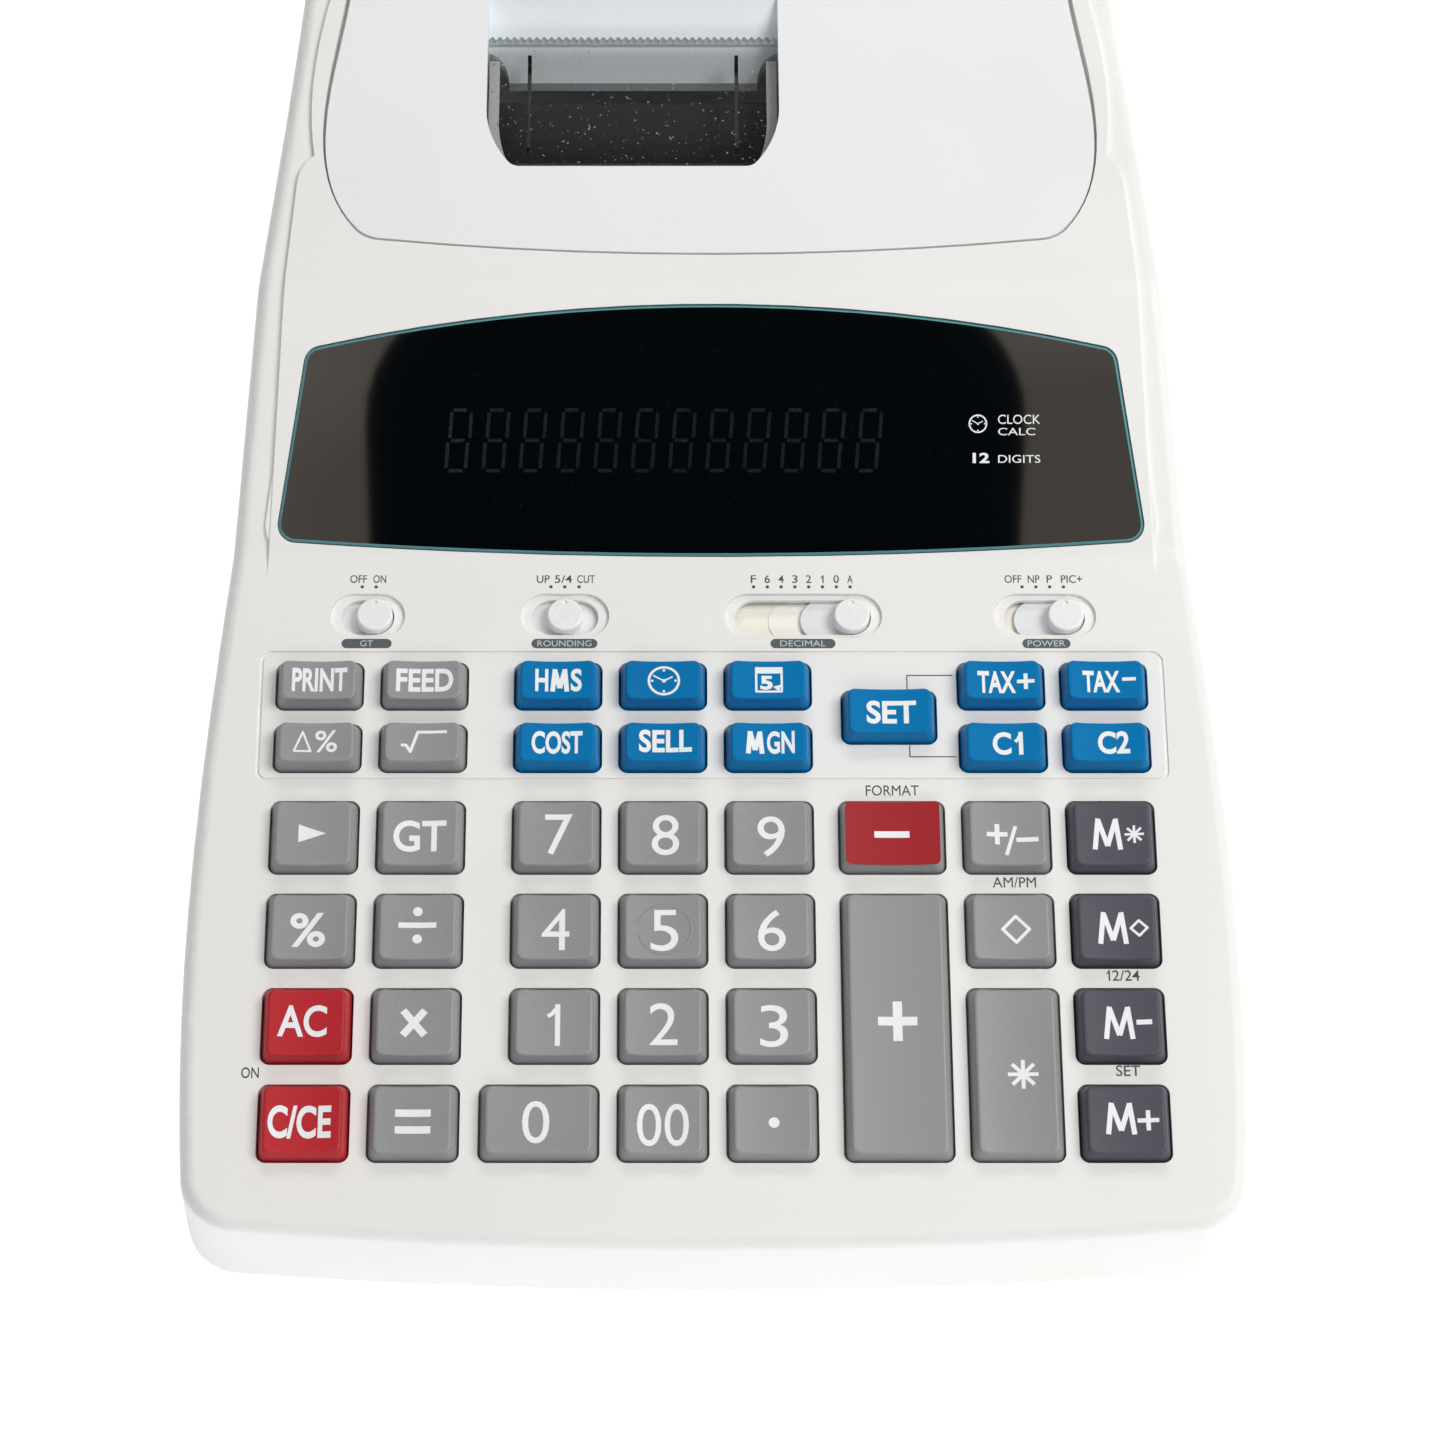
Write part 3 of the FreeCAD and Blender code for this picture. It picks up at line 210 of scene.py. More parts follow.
# %% Rubber, steel and board
def worn(name, colour, second, roughness, metallic, size, depth, stretch=(1, 1, 1)):
    """Rubber or metal whose grain is size mm across, drawn out by stretch."""
    material = bpy.data.materials.new(name)
    material.use_nodes = True
    tree = material.node_tree
    shader = tree.nodes["Principled BSDF"]
    place = add(tree, "ShaderNodeTexCoord").outputs["Object"]
    turned = add(tree, "ShaderNodeMapping", {"Vector": place, "Scale": stretch})
    grain = add(tree, "ShaderNodeTexNoise", {"Vector": turned.outputs["Vector"], "Scale": per_mm(size), "Detail": 4.0})
    tree.links.new(two_tones(tree, grain.outputs["Fac"], second, colour, 0.35, 0.65), shader.inputs["Base Color"])
    rough = add(tree, "ShaderNodeMapRange", {"Value": grain.outputs["Fac"], "To Min": roughness - 0.1,
                                             "To Max": roughness + 0.1})
    tree.links.new(rough.outputs["Result"], shader.inputs["Roughness"])
    bump = add(tree, "ShaderNodeBump", {"Height": grain.outputs["Fac"], "Strength": 0.4, "Distance": depth * MM})
    tree.links.new(bump.outputs["Normal"], shader.inputs["Normal"])
    shader.inputs["Metallic"].default_value = metallic
    return material


platen_rubber = worn("ground_black_rubber", "#2A2A2B", "#222223", 0.75, 0.0, 0.5, 0.03, (0.2, 1, 1))
foot_rubber = worn("moulded_black_rubber", "#2D2D2E", "#242425", 0.7, 0.0, 0.6, 0.03)
dome_rubber = worn("moulded_grey_silicone", "#A9AAA6", "#9FA09C", 0.6, 0.0, 0.8, 0.02)
coated_steel = worn("dark_coated_steel", "#3A3B3E", "#303134", 0.45, 0.0, 0.5, 0.02)
zinc_steel = worn("zinc_plated_steel", "#C9CACC", "#A9ABAE", 0.35, 1.0, 0.5, 0.01)
board_green = worn("green_solder_mask", "#1E5A34", "#164A29", 0.35, 0.0, 1.8, 0.03)
tube_glass = worn("dark_display_tube_glass", "#1B2226", "#151B1F", 0.2, 0.0, 4.0, 0.01)
core_steel = worn("varnished_core_steel", "#54504A", "#46423D", 0.45, 0.4, 1.0, 0.05, (1, 1, 6))
ink_felt = worn("inked_felt", "#2B2230", "#211A25", 0.9, 0.0, 0.7, 0.08)
print("rubber, steel and board ready")

# %% [markdown]
# ## Smooth mouldings from the CAD model
#
# The shells, the lid, the knobs and the other mouldings already have their true shape. The CAD mesh is
# loose triangles, which would show facets on every round, so each piece is a copy whose doubles are merged
# and whose flat triangles are joined into whole faces. Edges sharper than the limit stay sharp, and the
# rest shade smooth. A weighted normal then keeps big flats flat right up to their rounds.


# %% Finishing helpers
def move(bm, by):
    bmesh.ops.translate(bm, vec=by, verts=bm.verts)


def turn(bm, angle):
    """Turns a whole mesh round its upright axis."""
    bmesh.ops.rotate(bm, cent=(0, 0, 0), matrix=Matrix.Rotation(angle, 3, "Z"), verts=bm.verts)


def raise_faces(bm, height):
    """Extrudes every face upwards, so that a flat shape becomes a solid."""
    raised = bmesh.ops.extrude_face_region(bm, geom=bm.faces[:])["geom"]
    tops = [g for g in raised if isinstance(g, bmesh.types.BMVert)]
    bmesh.ops.translate(bm, vec=(0, 0, height), verts=tops)
    bmesh.ops.recalc_face_normals(bm, faces=bm.faces)


def stadium(width, height, segments):
    """A flat face with half-round ends."""
    bm = bmesh.new()
    bmesh.ops.create_circle(bm, cap_ends=True, radius=height / 2, segments=segments)
    turn(bm, math.pi / segments)
    for side in (-1, 1):
        half = [v for v in bm.verts if v.co.x * side > 0]
        bmesh.ops.translate(bm, vec=(side * (width - height) / 2, 0, 0), verts=half)
    return bm


def shade(bm, angle):
    """Smooth shading, with the edges sharper than angle degrees kept crisp."""
    for face in bm.faces:
        face.smooth = True
    for edge in bm.edges:
        edge.smooth = len(edge.link_faces) == 2 and edge.calc_face_angle(0) < math.radians(angle)


def make_piece(name, bm, materials, body):
    """Turns a finished bmesh into an object that rides on a body."""
    mesh = bpy.data.meshes.new(name)
    bm.to_mesh(mesh)
    bm.free()
    for material in materials:
        mesh.materials.append(material)
    made = bpy.data.objects.new(name, mesh)
    bpy.context.scene.collection.objects.link(made)
    weighted = made.modifiers.new("flat faces stay flat", "WEIGHTED_NORMAL")
    weighted.keep_sharp = True
    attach(made, body)
    return made


def smooth_copy(node, body, materials, angle=32, choose=None, paint=None):
    """A merged, smooth copy of a CAD node.

    choose picks a material number from an island's box, and paint from a face's middle and normal, in mm.
    """
    bm = bmesh.new()
    bm.from_mesh(nodes[node].data)
    bmesh.ops.remove_doubles(bm, verts=bm.verts, dist=0.002 * MM)
    bmesh.ops.dissolve_limit(bm, angle_limit=math.radians(0.3), verts=bm.verts, edges=bm.edges,
                             use_dissolve_boundaries=False)
    shade(bm, angle)
    for face in bm.faces:
        face.material_index = paint(face.calc_center_median() / MM, face.normal) if paint else 0
    if choose:
        for island in islands(bm):
            spots = [v.co / MM for face in island for v in face.verts]
            low = Vector(min(s[i] for s in spots) for i in range(3))
            high = Vector(max(s[i] for s in spots) for i in range(3))
            for face in island:
                face.material_index = choose(low, high)
    made = make_piece(node + "_finish", bm, materials, body)
    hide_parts(node)
    return made


def islands(bm):
    """The separate solids of a mesh, each as a list of faces."""
    left = set(bm.faces)
    found = []
    while left:
        todo = [left.pop()]
        island = []
        while todo:
            face = todo.pop()
            island.append(face)
            for edge in face.edges:
                for near in edge.link_faces:
                    if near in left:
                        left.remove(near)
                        todo.append(near)
        found.append(island)
    return found


print("helpers ready")


# %% The shells and the lid
def on_plane(plane, spot_mm):
    """A point's place on one of the two planes: across, along and above."""
    return plane.inverted() @ spot_mm


def lens_edge(middle, normal):
    """The window's bevelled rim shows the tint of the sheet's cut edge."""
    flat = on_plane(HOOD, middle).z > -0.02
    return 0 if flat or normal.z < 0 else 1


def well_or_skin(middle, normal):
    """The paper well's floor and walls are a cooler white than the lid's skin."""
    inside = abs(middle.x - WINDOW_X) < WELL_HALF and middle.y > WELL_FRONT
    return 1 if inside and normal.dot(Vector((0, -0.087, 0.996))) < 0.98 else 0


def plate_rib_or_tooth(middle, normal):
    """The tear window is clear; its teeth get a paler colour as a painted highlight, and its two ribs are painted
    near-black.
    """
    depth = LID_Z + (middle.y - LID_Y) * LID_SLOPE - middle.z
    if abs(abs(middle.x - WINDOW_X) - RIB_X) < RIB_HALF and depth > PLATE_DEPTH:
        return 2
    return 1 if middle.y > WINDOW_REAR - TOOTH_LENGTH and depth < TOOTH_DEPTH else 0


LID_Y, LID_Z = 30.994, 74.867        # a point of the lid's sloping skin
LID_SLOPE = math.tan(math.radians(5))
WINDOW_X, WINDOW_FRONT, WINDOW_REAR = -16.1, 59.994, 93.594
WELL_HALF, WELL_FRONT = 33, 89       # the paper well's half width and where it starts
RIB_X, RIB_HALF, PLATE_DEPTH = 21.8, 0.45, 3.7
TOOTH_LENGTH, TOOTH_DEPTH = 0.95, 1.6
smooth_copy("tear_window", "cover", [smoked_acrylic, teeth_painted_highlight, rib_acrylic], paint=plate_rib_or_tooth)
smooth_copy("display_lens", "housing", [lens_acrylic, cut_edge], paint=lens_edge)
smooth_copy("printer_cover", "cover", [cover_abs, ramp_abs], paint=well_or_skin)
for node, body, material in (("top_housing", "housing", shell_abs), ("bottom_housing", "housing", shell_abs),
                             ("paper_holder", "holder", cover_abs),
                             ("rubber_feet", "housing", foot_rubber), ("screws", "housing", zinc_steel),
                             ("platen_roller", "platen", platen_rubber)):
    made = smooth_copy(node, body, [material])
    print(made.name, len(made.data.polygons), "faces")

# %% [markdown]
# ## The rubber domes
#
# A real dome buckles when its key goes down. Here the domes are drawn pressed flat, which leaves every
# plunger room for its whole stroke.

# %% Dome sheet
SHEET_TOP = -11.2
DOME_FLATTENING = 0.2
sheet = smooth_copy("key_dome_sheet", "housing", [dome_rubber])
for vertex in sheet.data.vertices:
    spot_on_deck = on_plane(DECK, vertex.co / MM)
    if spot_on_deck.z > SHEET_TOP:
        spot_on_deck.z = SHEET_TOP + (spot_on_deck.z - SHEET_TOP) * DOME_FLATTENING
        vertex.co = (DECK @ spot_on_deck) * MM
print("domes flattened")

# %% [markdown]
# ## The window's frosted band
#
# Just inside its outline the tear window is frosted, where it is glued to the lid. The band follows the
# outline at two distances: straight down the side, round the shoulder, and out along the front edge, where
# it gets thinner. It lies right under the plate.


# %% Frosted band
BAND_STEPS = 24
BAND_EDGES = (0.3, 2.5)              # how far the band's two edges lie inside the outline
BAND_DEPTH, BAND_THICKNESS = 3.66, 0.08


def band_point(share, inset):
    """A point of the window's right half outline.

    share runs from 0 to 1 down the side, and from 1 to 2 round to the front.
    """
    half, neck, run, rear_gap = 30.6, 24.9, 16.0, 3.5
    if share < 1:
        return half - inset, WINDOW_REAR - rear_gap - share * (WINDOW_REAR - rear_gap - WINDOW_FRONT - run)
    angle = (share - 1) * math.pi / 2
    return (neck + (half - neck) * math.cos(angle) - inset * (1 - 0.3 * (share - 1)),
            WINDOW_FRONT + run * (1 - math.sin(angle)) ** 0.9 + inset * 0.35 * (share - 1))


for side in (-1, 1):
    bm = bmesh.new()
    rows = []
    for step in range(BAND_STEPS + 1):
        pair = []
        for inset in BAND_EDGES:
            across, y = band_point(2 * step / BAND_STEPS, inset)
            z = LID_Z + (y - LID_Y) * LID_SLOPE - BAND_DEPTH
            pair.append(bm.verts.new(Vector((WINDOW_X + side * across, y, z)) * MM))
        rows.append(pair)
    for (a, b), (c, d) in zip(rows, rows[1:]):
        bm.faces.new((a, b, d, c))
    bmesh.ops.recalc_face_normals(bm, faces=bm.faces)
    bmesh.ops.solidify(bm, geom=bm.faces[:], thickness=BAND_THICKNESS * MM)
    shade(bm, 40)
    make_piece("frosted_band_" + ("left" if side < 0 else "right"), bm, [frosted_acrylic], "cover")
print("band done")

# %% [markdown]
# ## Slide switches
#
# Each switch is a round button on a shutter leaf that slides under the deck and hides the works. Longer
# slots need more than one leaf, so a fixed lower leaf fills the rest of the slot. Its far part is the
# yellowed ivory of an older batch of plastic; the near part is a cooler white.


# %% The slide knobs
def leaf_plate(left, right, low, high):
    """A flat shutter leaf with half-round ends, between two heights on the deck, in mm."""
    bm = stadium(right - left, LEAF_DEPTH, 48)
    raise_faces(bm, high - low)
    move(bm, ((left + right) / 2, SLIDE_LINE, low))
    bmesh.ops.transform(bm, matrix=Matrix.Scale(MM, 4) @ DECK, verts=bm.verts)
    shade(bm, 30)
    return bm


def button_or_leaf(middle, normal):
    """Only the button's own plastic is above the leaf's top."""
    return 0 if on_plane(DECK, middle).z > LEAF_TOP else 1


SLIDE_LINE, LEAF_DEPTH, LEAF_TOP = 133.6, 9.2, -2.05
for node in ("gt_slide_knob", "rounding_slide_knob", "decimal_slide_knob", "power_slide_knob"):
    smooth_copy(node, node, [knob_abs, leaf_abs], paint=button_or_leaf)
for name, left, right, low, high, material in (("decimal_lower_leaf", 3.6, 33.6, -3.28, -3.12, ivory_abs),
                                               ("decimal_middle_leaf", 11.6, 33.6, -3.1, -2.95, pale_ivory_abs),
                                               ("power_lower_leaf", 58.3, 76.7, -3.28, -3.0, ivory_abs)):
    make_piece(name, leaf_plate(left, right, low, high), [material], "housing")
print("knobs and leaves done")

# %% [markdown]
# ## The board and the printer's works
#
# These two CAD nodes hold many separate solids each, so one colour for all of them would look wrong as soon
# as the lid opens. Each solid is an island of faces, and its size says what it is: a wide thin one is a
# board, a long round one a roller.


# %% Inner works
def board_finish(low, high):
    size = high - low
    if low.z < 8 and size.x > 20:
        return 2                      # transformer core and windings
    if size.x < 4:
        return 4                      # inlet pins
    if size.x > 150 or (size.x > 130 and low.y > -60):
        return 0                      # boards
    if 100 < size.x < 130:
        return 3                      # display tube
    return 1 if size.z > 3 and size.y < 20 else 5


def printer_finish(low, high):
    size = high - low
    if size.x > 60 and size.z < 12 and size.y < 13 and low.z > 40:
        return 1                      # ink roller
    return 2 if size.x > 60 and 13 < size.z < 15 and 13 < size.y < 15 else 0


smooth_copy("main_board", "housing", [board_green, ivory_abs, core_steel, tube_glass, zinc_steel, coated_steel],
            choose=board_finish)
smooth_copy("printer_frame", "housing", [coated_steel, ink_felt, zinc_steel], choose=printer_finish)
print("inner works done")

# %% [markdown]
# ## Key caps
#
# A key cap is a box that leans in on all four sides, with round corners, a soft rim, and a shallow dish
# across the top for the fingertip. Here it starts as a cube. The top is scaled in, the upright edges and
# then the rim are bevelled, and the top is cut into strips so that it can be bent into a dish. Underneath it
# has what a real cap has: a skirt, a flange that holds it in the housing, a hollow, and the plunger that
# presses the switch.

# %% Key cap
GAP = 0.45
SIDE_RUN, FRONT_RUN, BACK_RUN = 1.0, 0.45, 1.0
DISH = 0.6
CORNER, RIM, STRIPS = 1.5, 0.5, 12
FLANGE_TOP, FLANGE_BOTTOM, FLANGE_REACH = -2.8, -4.0, 0.7
HOLLOW_INSET, HOLLOW_DEPTH = 1.9, 4.4
PLUNGER_BOTTOM, PLUNGER_LENGTH, PLUNGER_RADIUS = -8.0, 8.4, 2.2


def cut_across(bm, x):
    """Adds a line of edges right through a mesh at x."""
    bmesh.ops.bisect_plane(bm, geom=bm.verts[:] + bm.edges[:] + bm.faces[:], plane_co=(x, 0, 0),
                           plane_no=(1, 0, 0))


def dish_height(x, half, height):
    """Height of the dished top at a distance x from the cap's middle line."""
    return height - DISH * max(0.0, 1 - (x / half) ** 2)


def key_cap(width, depth, height):
    """A cap for a hole of width by depth, its top height above the deck."""
    bm = bmesh.new()
    base_w, base_d = width - 2 * GAP, depth - 2 * GAP
    half = base_w / 2 - SIDE_RUN
    bmesh.ops.create_cube(bm, size=1)
    bmesh.ops.scale(bm, vec=(base_w, base_d, height), verts=bm.verts)
    move(bm, (0, 0, height / 2))
    top = [v for v in bm.verts if v.co.z > height / 2]
    bmesh.ops.scale(bm, vec=(2 * half / base_w, (base_d - FRONT_RUN - BACK_RUN) / base_d, 1), verts=top)
    bmesh.ops.translate(bm, vec=(0, (FRONT_RUN - BACK_RUN) / 2, 0), verts=top)
    uprights = [e for e in bm.edges if abs(e.verts[0].co.z - e.verts[1].co.z) > height / 2]
    bmesh.ops.bevel(bm, geom=uprights, affect="EDGES", offset=CORNER, segments=6, profile=0.5, material=-1)
    under = min(bm.faces, key=lambda f: f.calc_center_median().z)
    for grow, drop in ((0, FLANGE_TOP), (FLANGE_REACH, 0), (0, FLANGE_BOTTOM - FLANGE_TOP),
                       (-HOLLOW_INSET, 0), (0, HOLLOW_DEPTH)):
        moved = bmesh.ops.extrude_face_region(bm, geom=[under])["geom"]
        bmesh.ops.delete(bm, geom=[under], context="FACES_ONLY")
        under = [f for f in moved if isinstance(f, bmesh.types.BMFace)][0]
        verts = list(under.verts)
        span = base_w if grow > 0 else base_w + 2 * FLANGE_REACH
        deep = base_d if grow > 0 else base_d + 2 * FLANGE_REACH
        if grow:
            bmesh.ops.scale(bm, vec=(1 + 2 * grow / span, 1 + 2 * grow / deep, 1), verts=verts)
        bmesh.ops.translate(bm, vec=(0, 0, drop), verts=verts)
    rim = [e for e in bm.edges if min(v.co.z for v in e.verts) > height - 0.01]
    bmesh.ops.bevel(bm, geom=rim, affect="EDGES", offset=RIM, segments=3, profile=0.5, material=-1)
    face = max(bm.faces, key=lambda f: f.calc_center_median().z)
    bmesh.ops.inset_region(bm, faces=[face], thickness=0.25)
    for index in range(1, STRIPS):
        cut_across(bm, half * (2 * index / STRIPS - 1))
    for v in bm.verts:
        if v.co.z > height - 0.7:
            v.co.z += dish_height(v.co.x, half, height) - height
    plunger = bmesh.ops.create_cone(bm, segments=20, radius1=PLUNGER_RADIUS, radius2=PLUNGER_RADIUS,
                                    depth=PLUNGER_LENGTH, cap_ends=True, cap_tris=False)
    bmesh.ops.translate(bm, vec=(0, 0, PLUNGER_BOTTOM + PLUNGER_LENGTH / 2), verts=plunger["verts"])
    shade(bm, 34)
    return bm


test = key_cap(17.8, 16.0, 3.2)
open_edges = [e for e in test.edges if len(e.link_faces) != 2]
print("a full-size cap has", len(test.faces), "faces and", len(open_edges), "open edges")
test.free()

# %% [markdown]
# ## Where the keys are
#
# The keys stand in eight columns and six rows, with two low function rows at the back. The wide and tall
# keys span more than one place. A key's name, place and size are kept together in one table, so that the
# caps and their legends can't drift apart.

# %% Key places
COLUMNS = [-78.6, -57.6, -30.8, -9.8, 11.2, 35.4, 58.0, 78.6]
ROWS = {1: 112.2, 2: 98.4, 3: 76.3, 4: 56.3, 5: 36.3, 6: 16.3}      # front edge of each row's holes
FULL, LOW = (17.8, 16.0, 3.2), (17.8, 10.8, 4.2)

places = {}
for row, names in {1: "print feed time_format clock calendar - tax_plus tax_minus",
                   2: "margin_percent square_root cost sell margin - convert_1 convert_2",
                   3: "shift_right grand_total 7 8 9 - change_sign memory_total",
                   4: "percent divide 4 5 6 - subtotal memory_subtotal",
                   5: "clear_all multiply 1 2 3 - - memory_subtract",
                   6: "clear_entry equals - double_zero decimal_point - - memory_add"}.items():
    size = LOW if row < 3 else FULL
    for x, name in zip(COLUMNS, names.split()):
        if name != "-":
            places["key_" + name] = (x, ROWS[row] + size[1] / 2) + size
places["key_0"] = (-33.55, 24.3, 23.3, 16.0, 3.2)
places["key_add"] = (35.4, 44.3, 21.3, 56.0, 3.2)
places["key_total"] = (58.0, 34.3, 18.3, 36.0, 3.2)
places["key_subtract"] = (35.4, 84.3, 21.3, 16.0, 3.2)
places["key_set"] = (35.4, 110.7, 19.3, 12.1, 4.2)
print(len(places), "keys")

# %% [markdown]
# ## Fitting the caps
#
# Each cap takes the place of its CAD node and rides on that key's own body, so it goes down when the key
# does. The colour groups the keys by what they do: grey for numbers and arithmetic, blue for time and
# business functions, red for clearing, and charcoal for memory.

# %% Caps
BLUE = ("time_format", "clock", "calendar", "tax_plus", "tax_minus", "cost", "sell", "margin", "convert_1",
        "convert_2", "set")
RED = ("clear_all", "clear_entry")


def key_finish(name):
    if name[4:] in BLUE:
        return blue_keys, "key_blue"
    if name[4:] in RED:
        return red_keys, "key_red"
    if name.startswith("key_memory"):
        return dark_keys, "key_dark"
    return grey_keys, "key_grey"


def lay(bm, plane, x, along):
    """Places a flat or upright shape made round its own centre, in mm, on a plane."""
    bmesh.ops.transform(bm, matrix=Matrix.Scale(MM, 4) @ plane @ Matrix.Translation((x, along, 0)), verts=bm.verts)


for name, (x, along, width, depth, height) in places.items():
    bm = key_cap(width, depth, height)
    material, slot = key_finish(name)
    lay(bm, DECK, x, along)
    cap = make_piece(name + "_cap", bm, [material], name)
    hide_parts(name)
print("caps fitted")

# %% [markdown]
# ## Lettering
#
# The legends are pad printed: a thin, slightly raised film of ink. A word starts as a text object, turned
# into a mesh straight away, then scaled to the width and height of the print, and thickened by the text's
# own offset so that it reads as bold. Signs such as plus or a square root are drawn from flat bars, or
# with a pen of flat strokes and round joints. Both lie on the cap's dish, so the mesh is cut into narrow strips that
# can follow it.


# %% Pens and letters
INK = 0.03                           # half the thickness of a printed film
TEXT_EXTRUDE = 0.01                  # of a text object, before it is scaled to the print's size


def mesh_of(data):
    """A bmesh of a curve or text, which is then thrown away."""
    holder = bpy.data.objects.new("pattern", data)
    bpy.context.scene.collection.objects.link(holder)
    bpy.context.view_layer.update()
    mesh = bpy.data.meshes.new_from_object(holder.evaluated_get(bpy.context.evaluated_depsgraph_get()))
    bpy.data.objects.remove(holder)
    bm = bmesh.new()
    bm.from_mesh(mesh)
    bpy.data.meshes.remove(mesh)
    return bm


def word(text, width, height, x=0.0, y=0.0, bold=0.02):
    """A word whose ink is width by height mm, centred on x, y."""
    data = bpy.data.curves.new("word", "FONT")
    data.body = text
    data.size = 1.0
    data.offset = bold
    data.extrude = TEXT_EXTRUDE
    data.resolution_u = 5
    bm = mesh_of(data)
    bmesh.ops.remove_doubles(bm, verts=bm.verts, dist=1e-5)
    xs, ys = [v.co.x for v in bm.verts], [v.co.y for v in bm.verts]
    middle = Vector(((min(xs) + max(xs)) / 2, (min(ys) + max(ys)) / 2, 0))
    move(bm, -middle)
    wide, tall = max(xs) - min(xs), max(ys) - min(ys)
    bmesh.ops.scale(bm, vec=(width / wide, height / tall, INK / TEXT_EXTRUDE), verts=bm.verts)
    move(bm, (x, y, 0))
    return bm


def pen(points, thick, closed=False):
    """A line through points, thick mm wide, drawn as flat strokes with round joints."""
    ends = points[1:] + points[:1] if closed else points[1:]
    strokes = []
    for index, (start, end) in enumerate(zip(points, ends)):
        across, up = end[0] - start[0], end[1] - start[1]
        stroke = bar(math.hypot(across, up), thick)
        turn(stroke, math.atan2(up, across))
        # each stroke is a hair higher than the one before, so that crossing ones don't share a surface
        move(stroke, ((start[0] + end[0]) / 2, (start[1] + end[1]) / 2, index * 0.0015))
        strokes.append(stroke)
        if closed or index:
            strokes.append(spot(thick / 2, start[0], start[1], 16))
    return together(*strokes)


def spot(radius, x=0.0, y=0.0, sides=28, angle=0.0, squeeze=1.0):
    """A flat printed dot, or with few sides a printed triangle or diamond."""
    bm = bmesh.new()
    bmesh.ops.create_circle(bm, cap_ends=True, radius=radius, segments=sides)
    turn(bm, angle)
    bmesh.ops.scale(bm, vec=(1, squeeze, 1), verts=bm.verts)
    thicken(bm)
    move(bm, (x, y, 0))
    return bm


def thicken(bm):
    """Gives a flat print the thickness of its ink, its face up."""
    move(bm, (0, 0, -INK))
    raise_faces(bm, 2 * INK)


def bar(width, height, x=0.0, y=0.0):
    """A printed rectangle."""
    bm = bmesh.new()
    bmesh.ops.create_grid(bm, x_segments=1, y_segments=1, size=0.5)
    bmesh.ops.scale(bm, vec=(width, height, 1), verts=bm.verts)
    thicken(bm)
    move(bm, (x, y, 0))
    return bm


def together(*parts):
    """One bmesh from several."""
    bm = bmesh.new()
    for part in parts:
        mesh = bpy.data.meshes.new("part")
        part.to_mesh(mesh)
        part.free()
        bm.from_mesh(mesh)
        bpy.data.meshes.remove(mesh)
    return bm


def bar_turned(length, thick, x, y, degrees):
    """A printed stroke at an angle, a hair higher than the one it crosses."""
    bm = bar(length, thick)
    turn(bm, math.radians(degrees))
    move(bm, (x, y, 0.002))
    return bm


print("pens ready")

# %% [markdown]
# ## The signs on the keys
#
# Each sign is built in millimetres round the middle of its key. The star is three crossing strokes and a
# level one, the diamond a closed line, and the two little pictures, a clock and a calendar page, are made
# from the same pen.


# %% Signs
def star(size, thick, x=0.0, y=0.0):
    strokes = []
    for index in range(4):
        angle = math.radians(45 * index)
        dx, dy = math.cos(angle) * size / 2, math.sin(angle) * size / 2
        stroke = pen([(x - dx, y - dy), (x + dx, y + dy)], thick)
        move(stroke, (0, 0, index * 0.002))
        strokes.append(stroke)
    return together(*strokes)


def diamond(width, height, thick, x=0.0, y=0.0):
    half_w, half_h = (width - thick * 1.4) / 2, (height - thick * 1.4) / 2
    return pen([(x - half_w, y), (x, y - half_h), (x + half_w, y), (x, y + half_h)], thick, closed=True)


def ring(radius, thick, x=0.0, y=0.0):
    bm = bmesh.new()
    bmesh.ops.create_circle(bm, cap_ends=True, radius=radius + thick / 2, segments=40)
    bmesh.ops.inset_region(bm, faces=bm.faces[:], thickness=thick, use_boundary=True)
    inner = max(bm.faces, key=lambda f: len(f.verts))
    bmesh.ops.delete(bm, geom=[inner], context="FACES_ONLY")
    thicken(bm)
    move(bm, (x, y, 0))
    return bm


def letter_m(width, height, thick, x=0.0, y=0.0):
    """An M whose legs splay a little and whose middle comes down to the line."""
    w, h, t = width / 2 - thick / 2, height / 2, thick / 2
    low_middle = (x, y - h + t * 1.6)
    strokes = [pen([(x - w, y - h), (x - w * 0.68, y + h)], thick),
               pen([(x + w, y - h), (x + w * 0.68, y + h)], thick),
               pen([(x - w * 0.66, y + h - t), low_middle], thick),
               pen([(x + w * 0.66, y + h - t), low_middle], thick)]
    for index, stroke in enumerate(strokes):
        move(stroke, (0, 0, index * 0.002))
    return together(*strokes)


def figure_one(height, thick, x=0.0, y=0.0):
    """A figure one with a short flag."""
    unit = height / 8.6
    top = y + height / 2
    flag = [(x + 0.5 * unit, top - thick * 0.7), (x - 0.5 * unit, top - thick * 2.0),
            (x - 1.35 * unit, top - thick * 2.5)]
    return together(bar(thick, height, x + 0.6 * unit, y), pen(flag, thick * 0.8))


def plus(width, height, thick, x=0.0, y=0.0):
    arm = (height - thick) / 2
    return together(bar(width, thick, x, y), bar(thick, arm, x, y + (thick + arm) / 2),
                    bar(thick, arm, x, y - (thick + arm) / 2))


def clock_face(radius, thick, x=0.0, y=0.0):
    out = radius * 0.72
    marks = [spot(thick * 0.55, x + out * math.cos(math.radians(a)), y + out * math.sin(math.radians(a)), 10)
             for a in (0, 90, 180, 270)]
    hands = [pen([(x - radius * 0.66, y + radius * 0.36), (x, y)], thick * 0.62),
             pen([(x, y), (x + radius * 0.54, y + radius * 0.28)], thick * 0.62)]
    return together(ring(radius - thick / 2, thick, x, y), spot(thick * 0.8, x, y, 14), *marks, *hands)


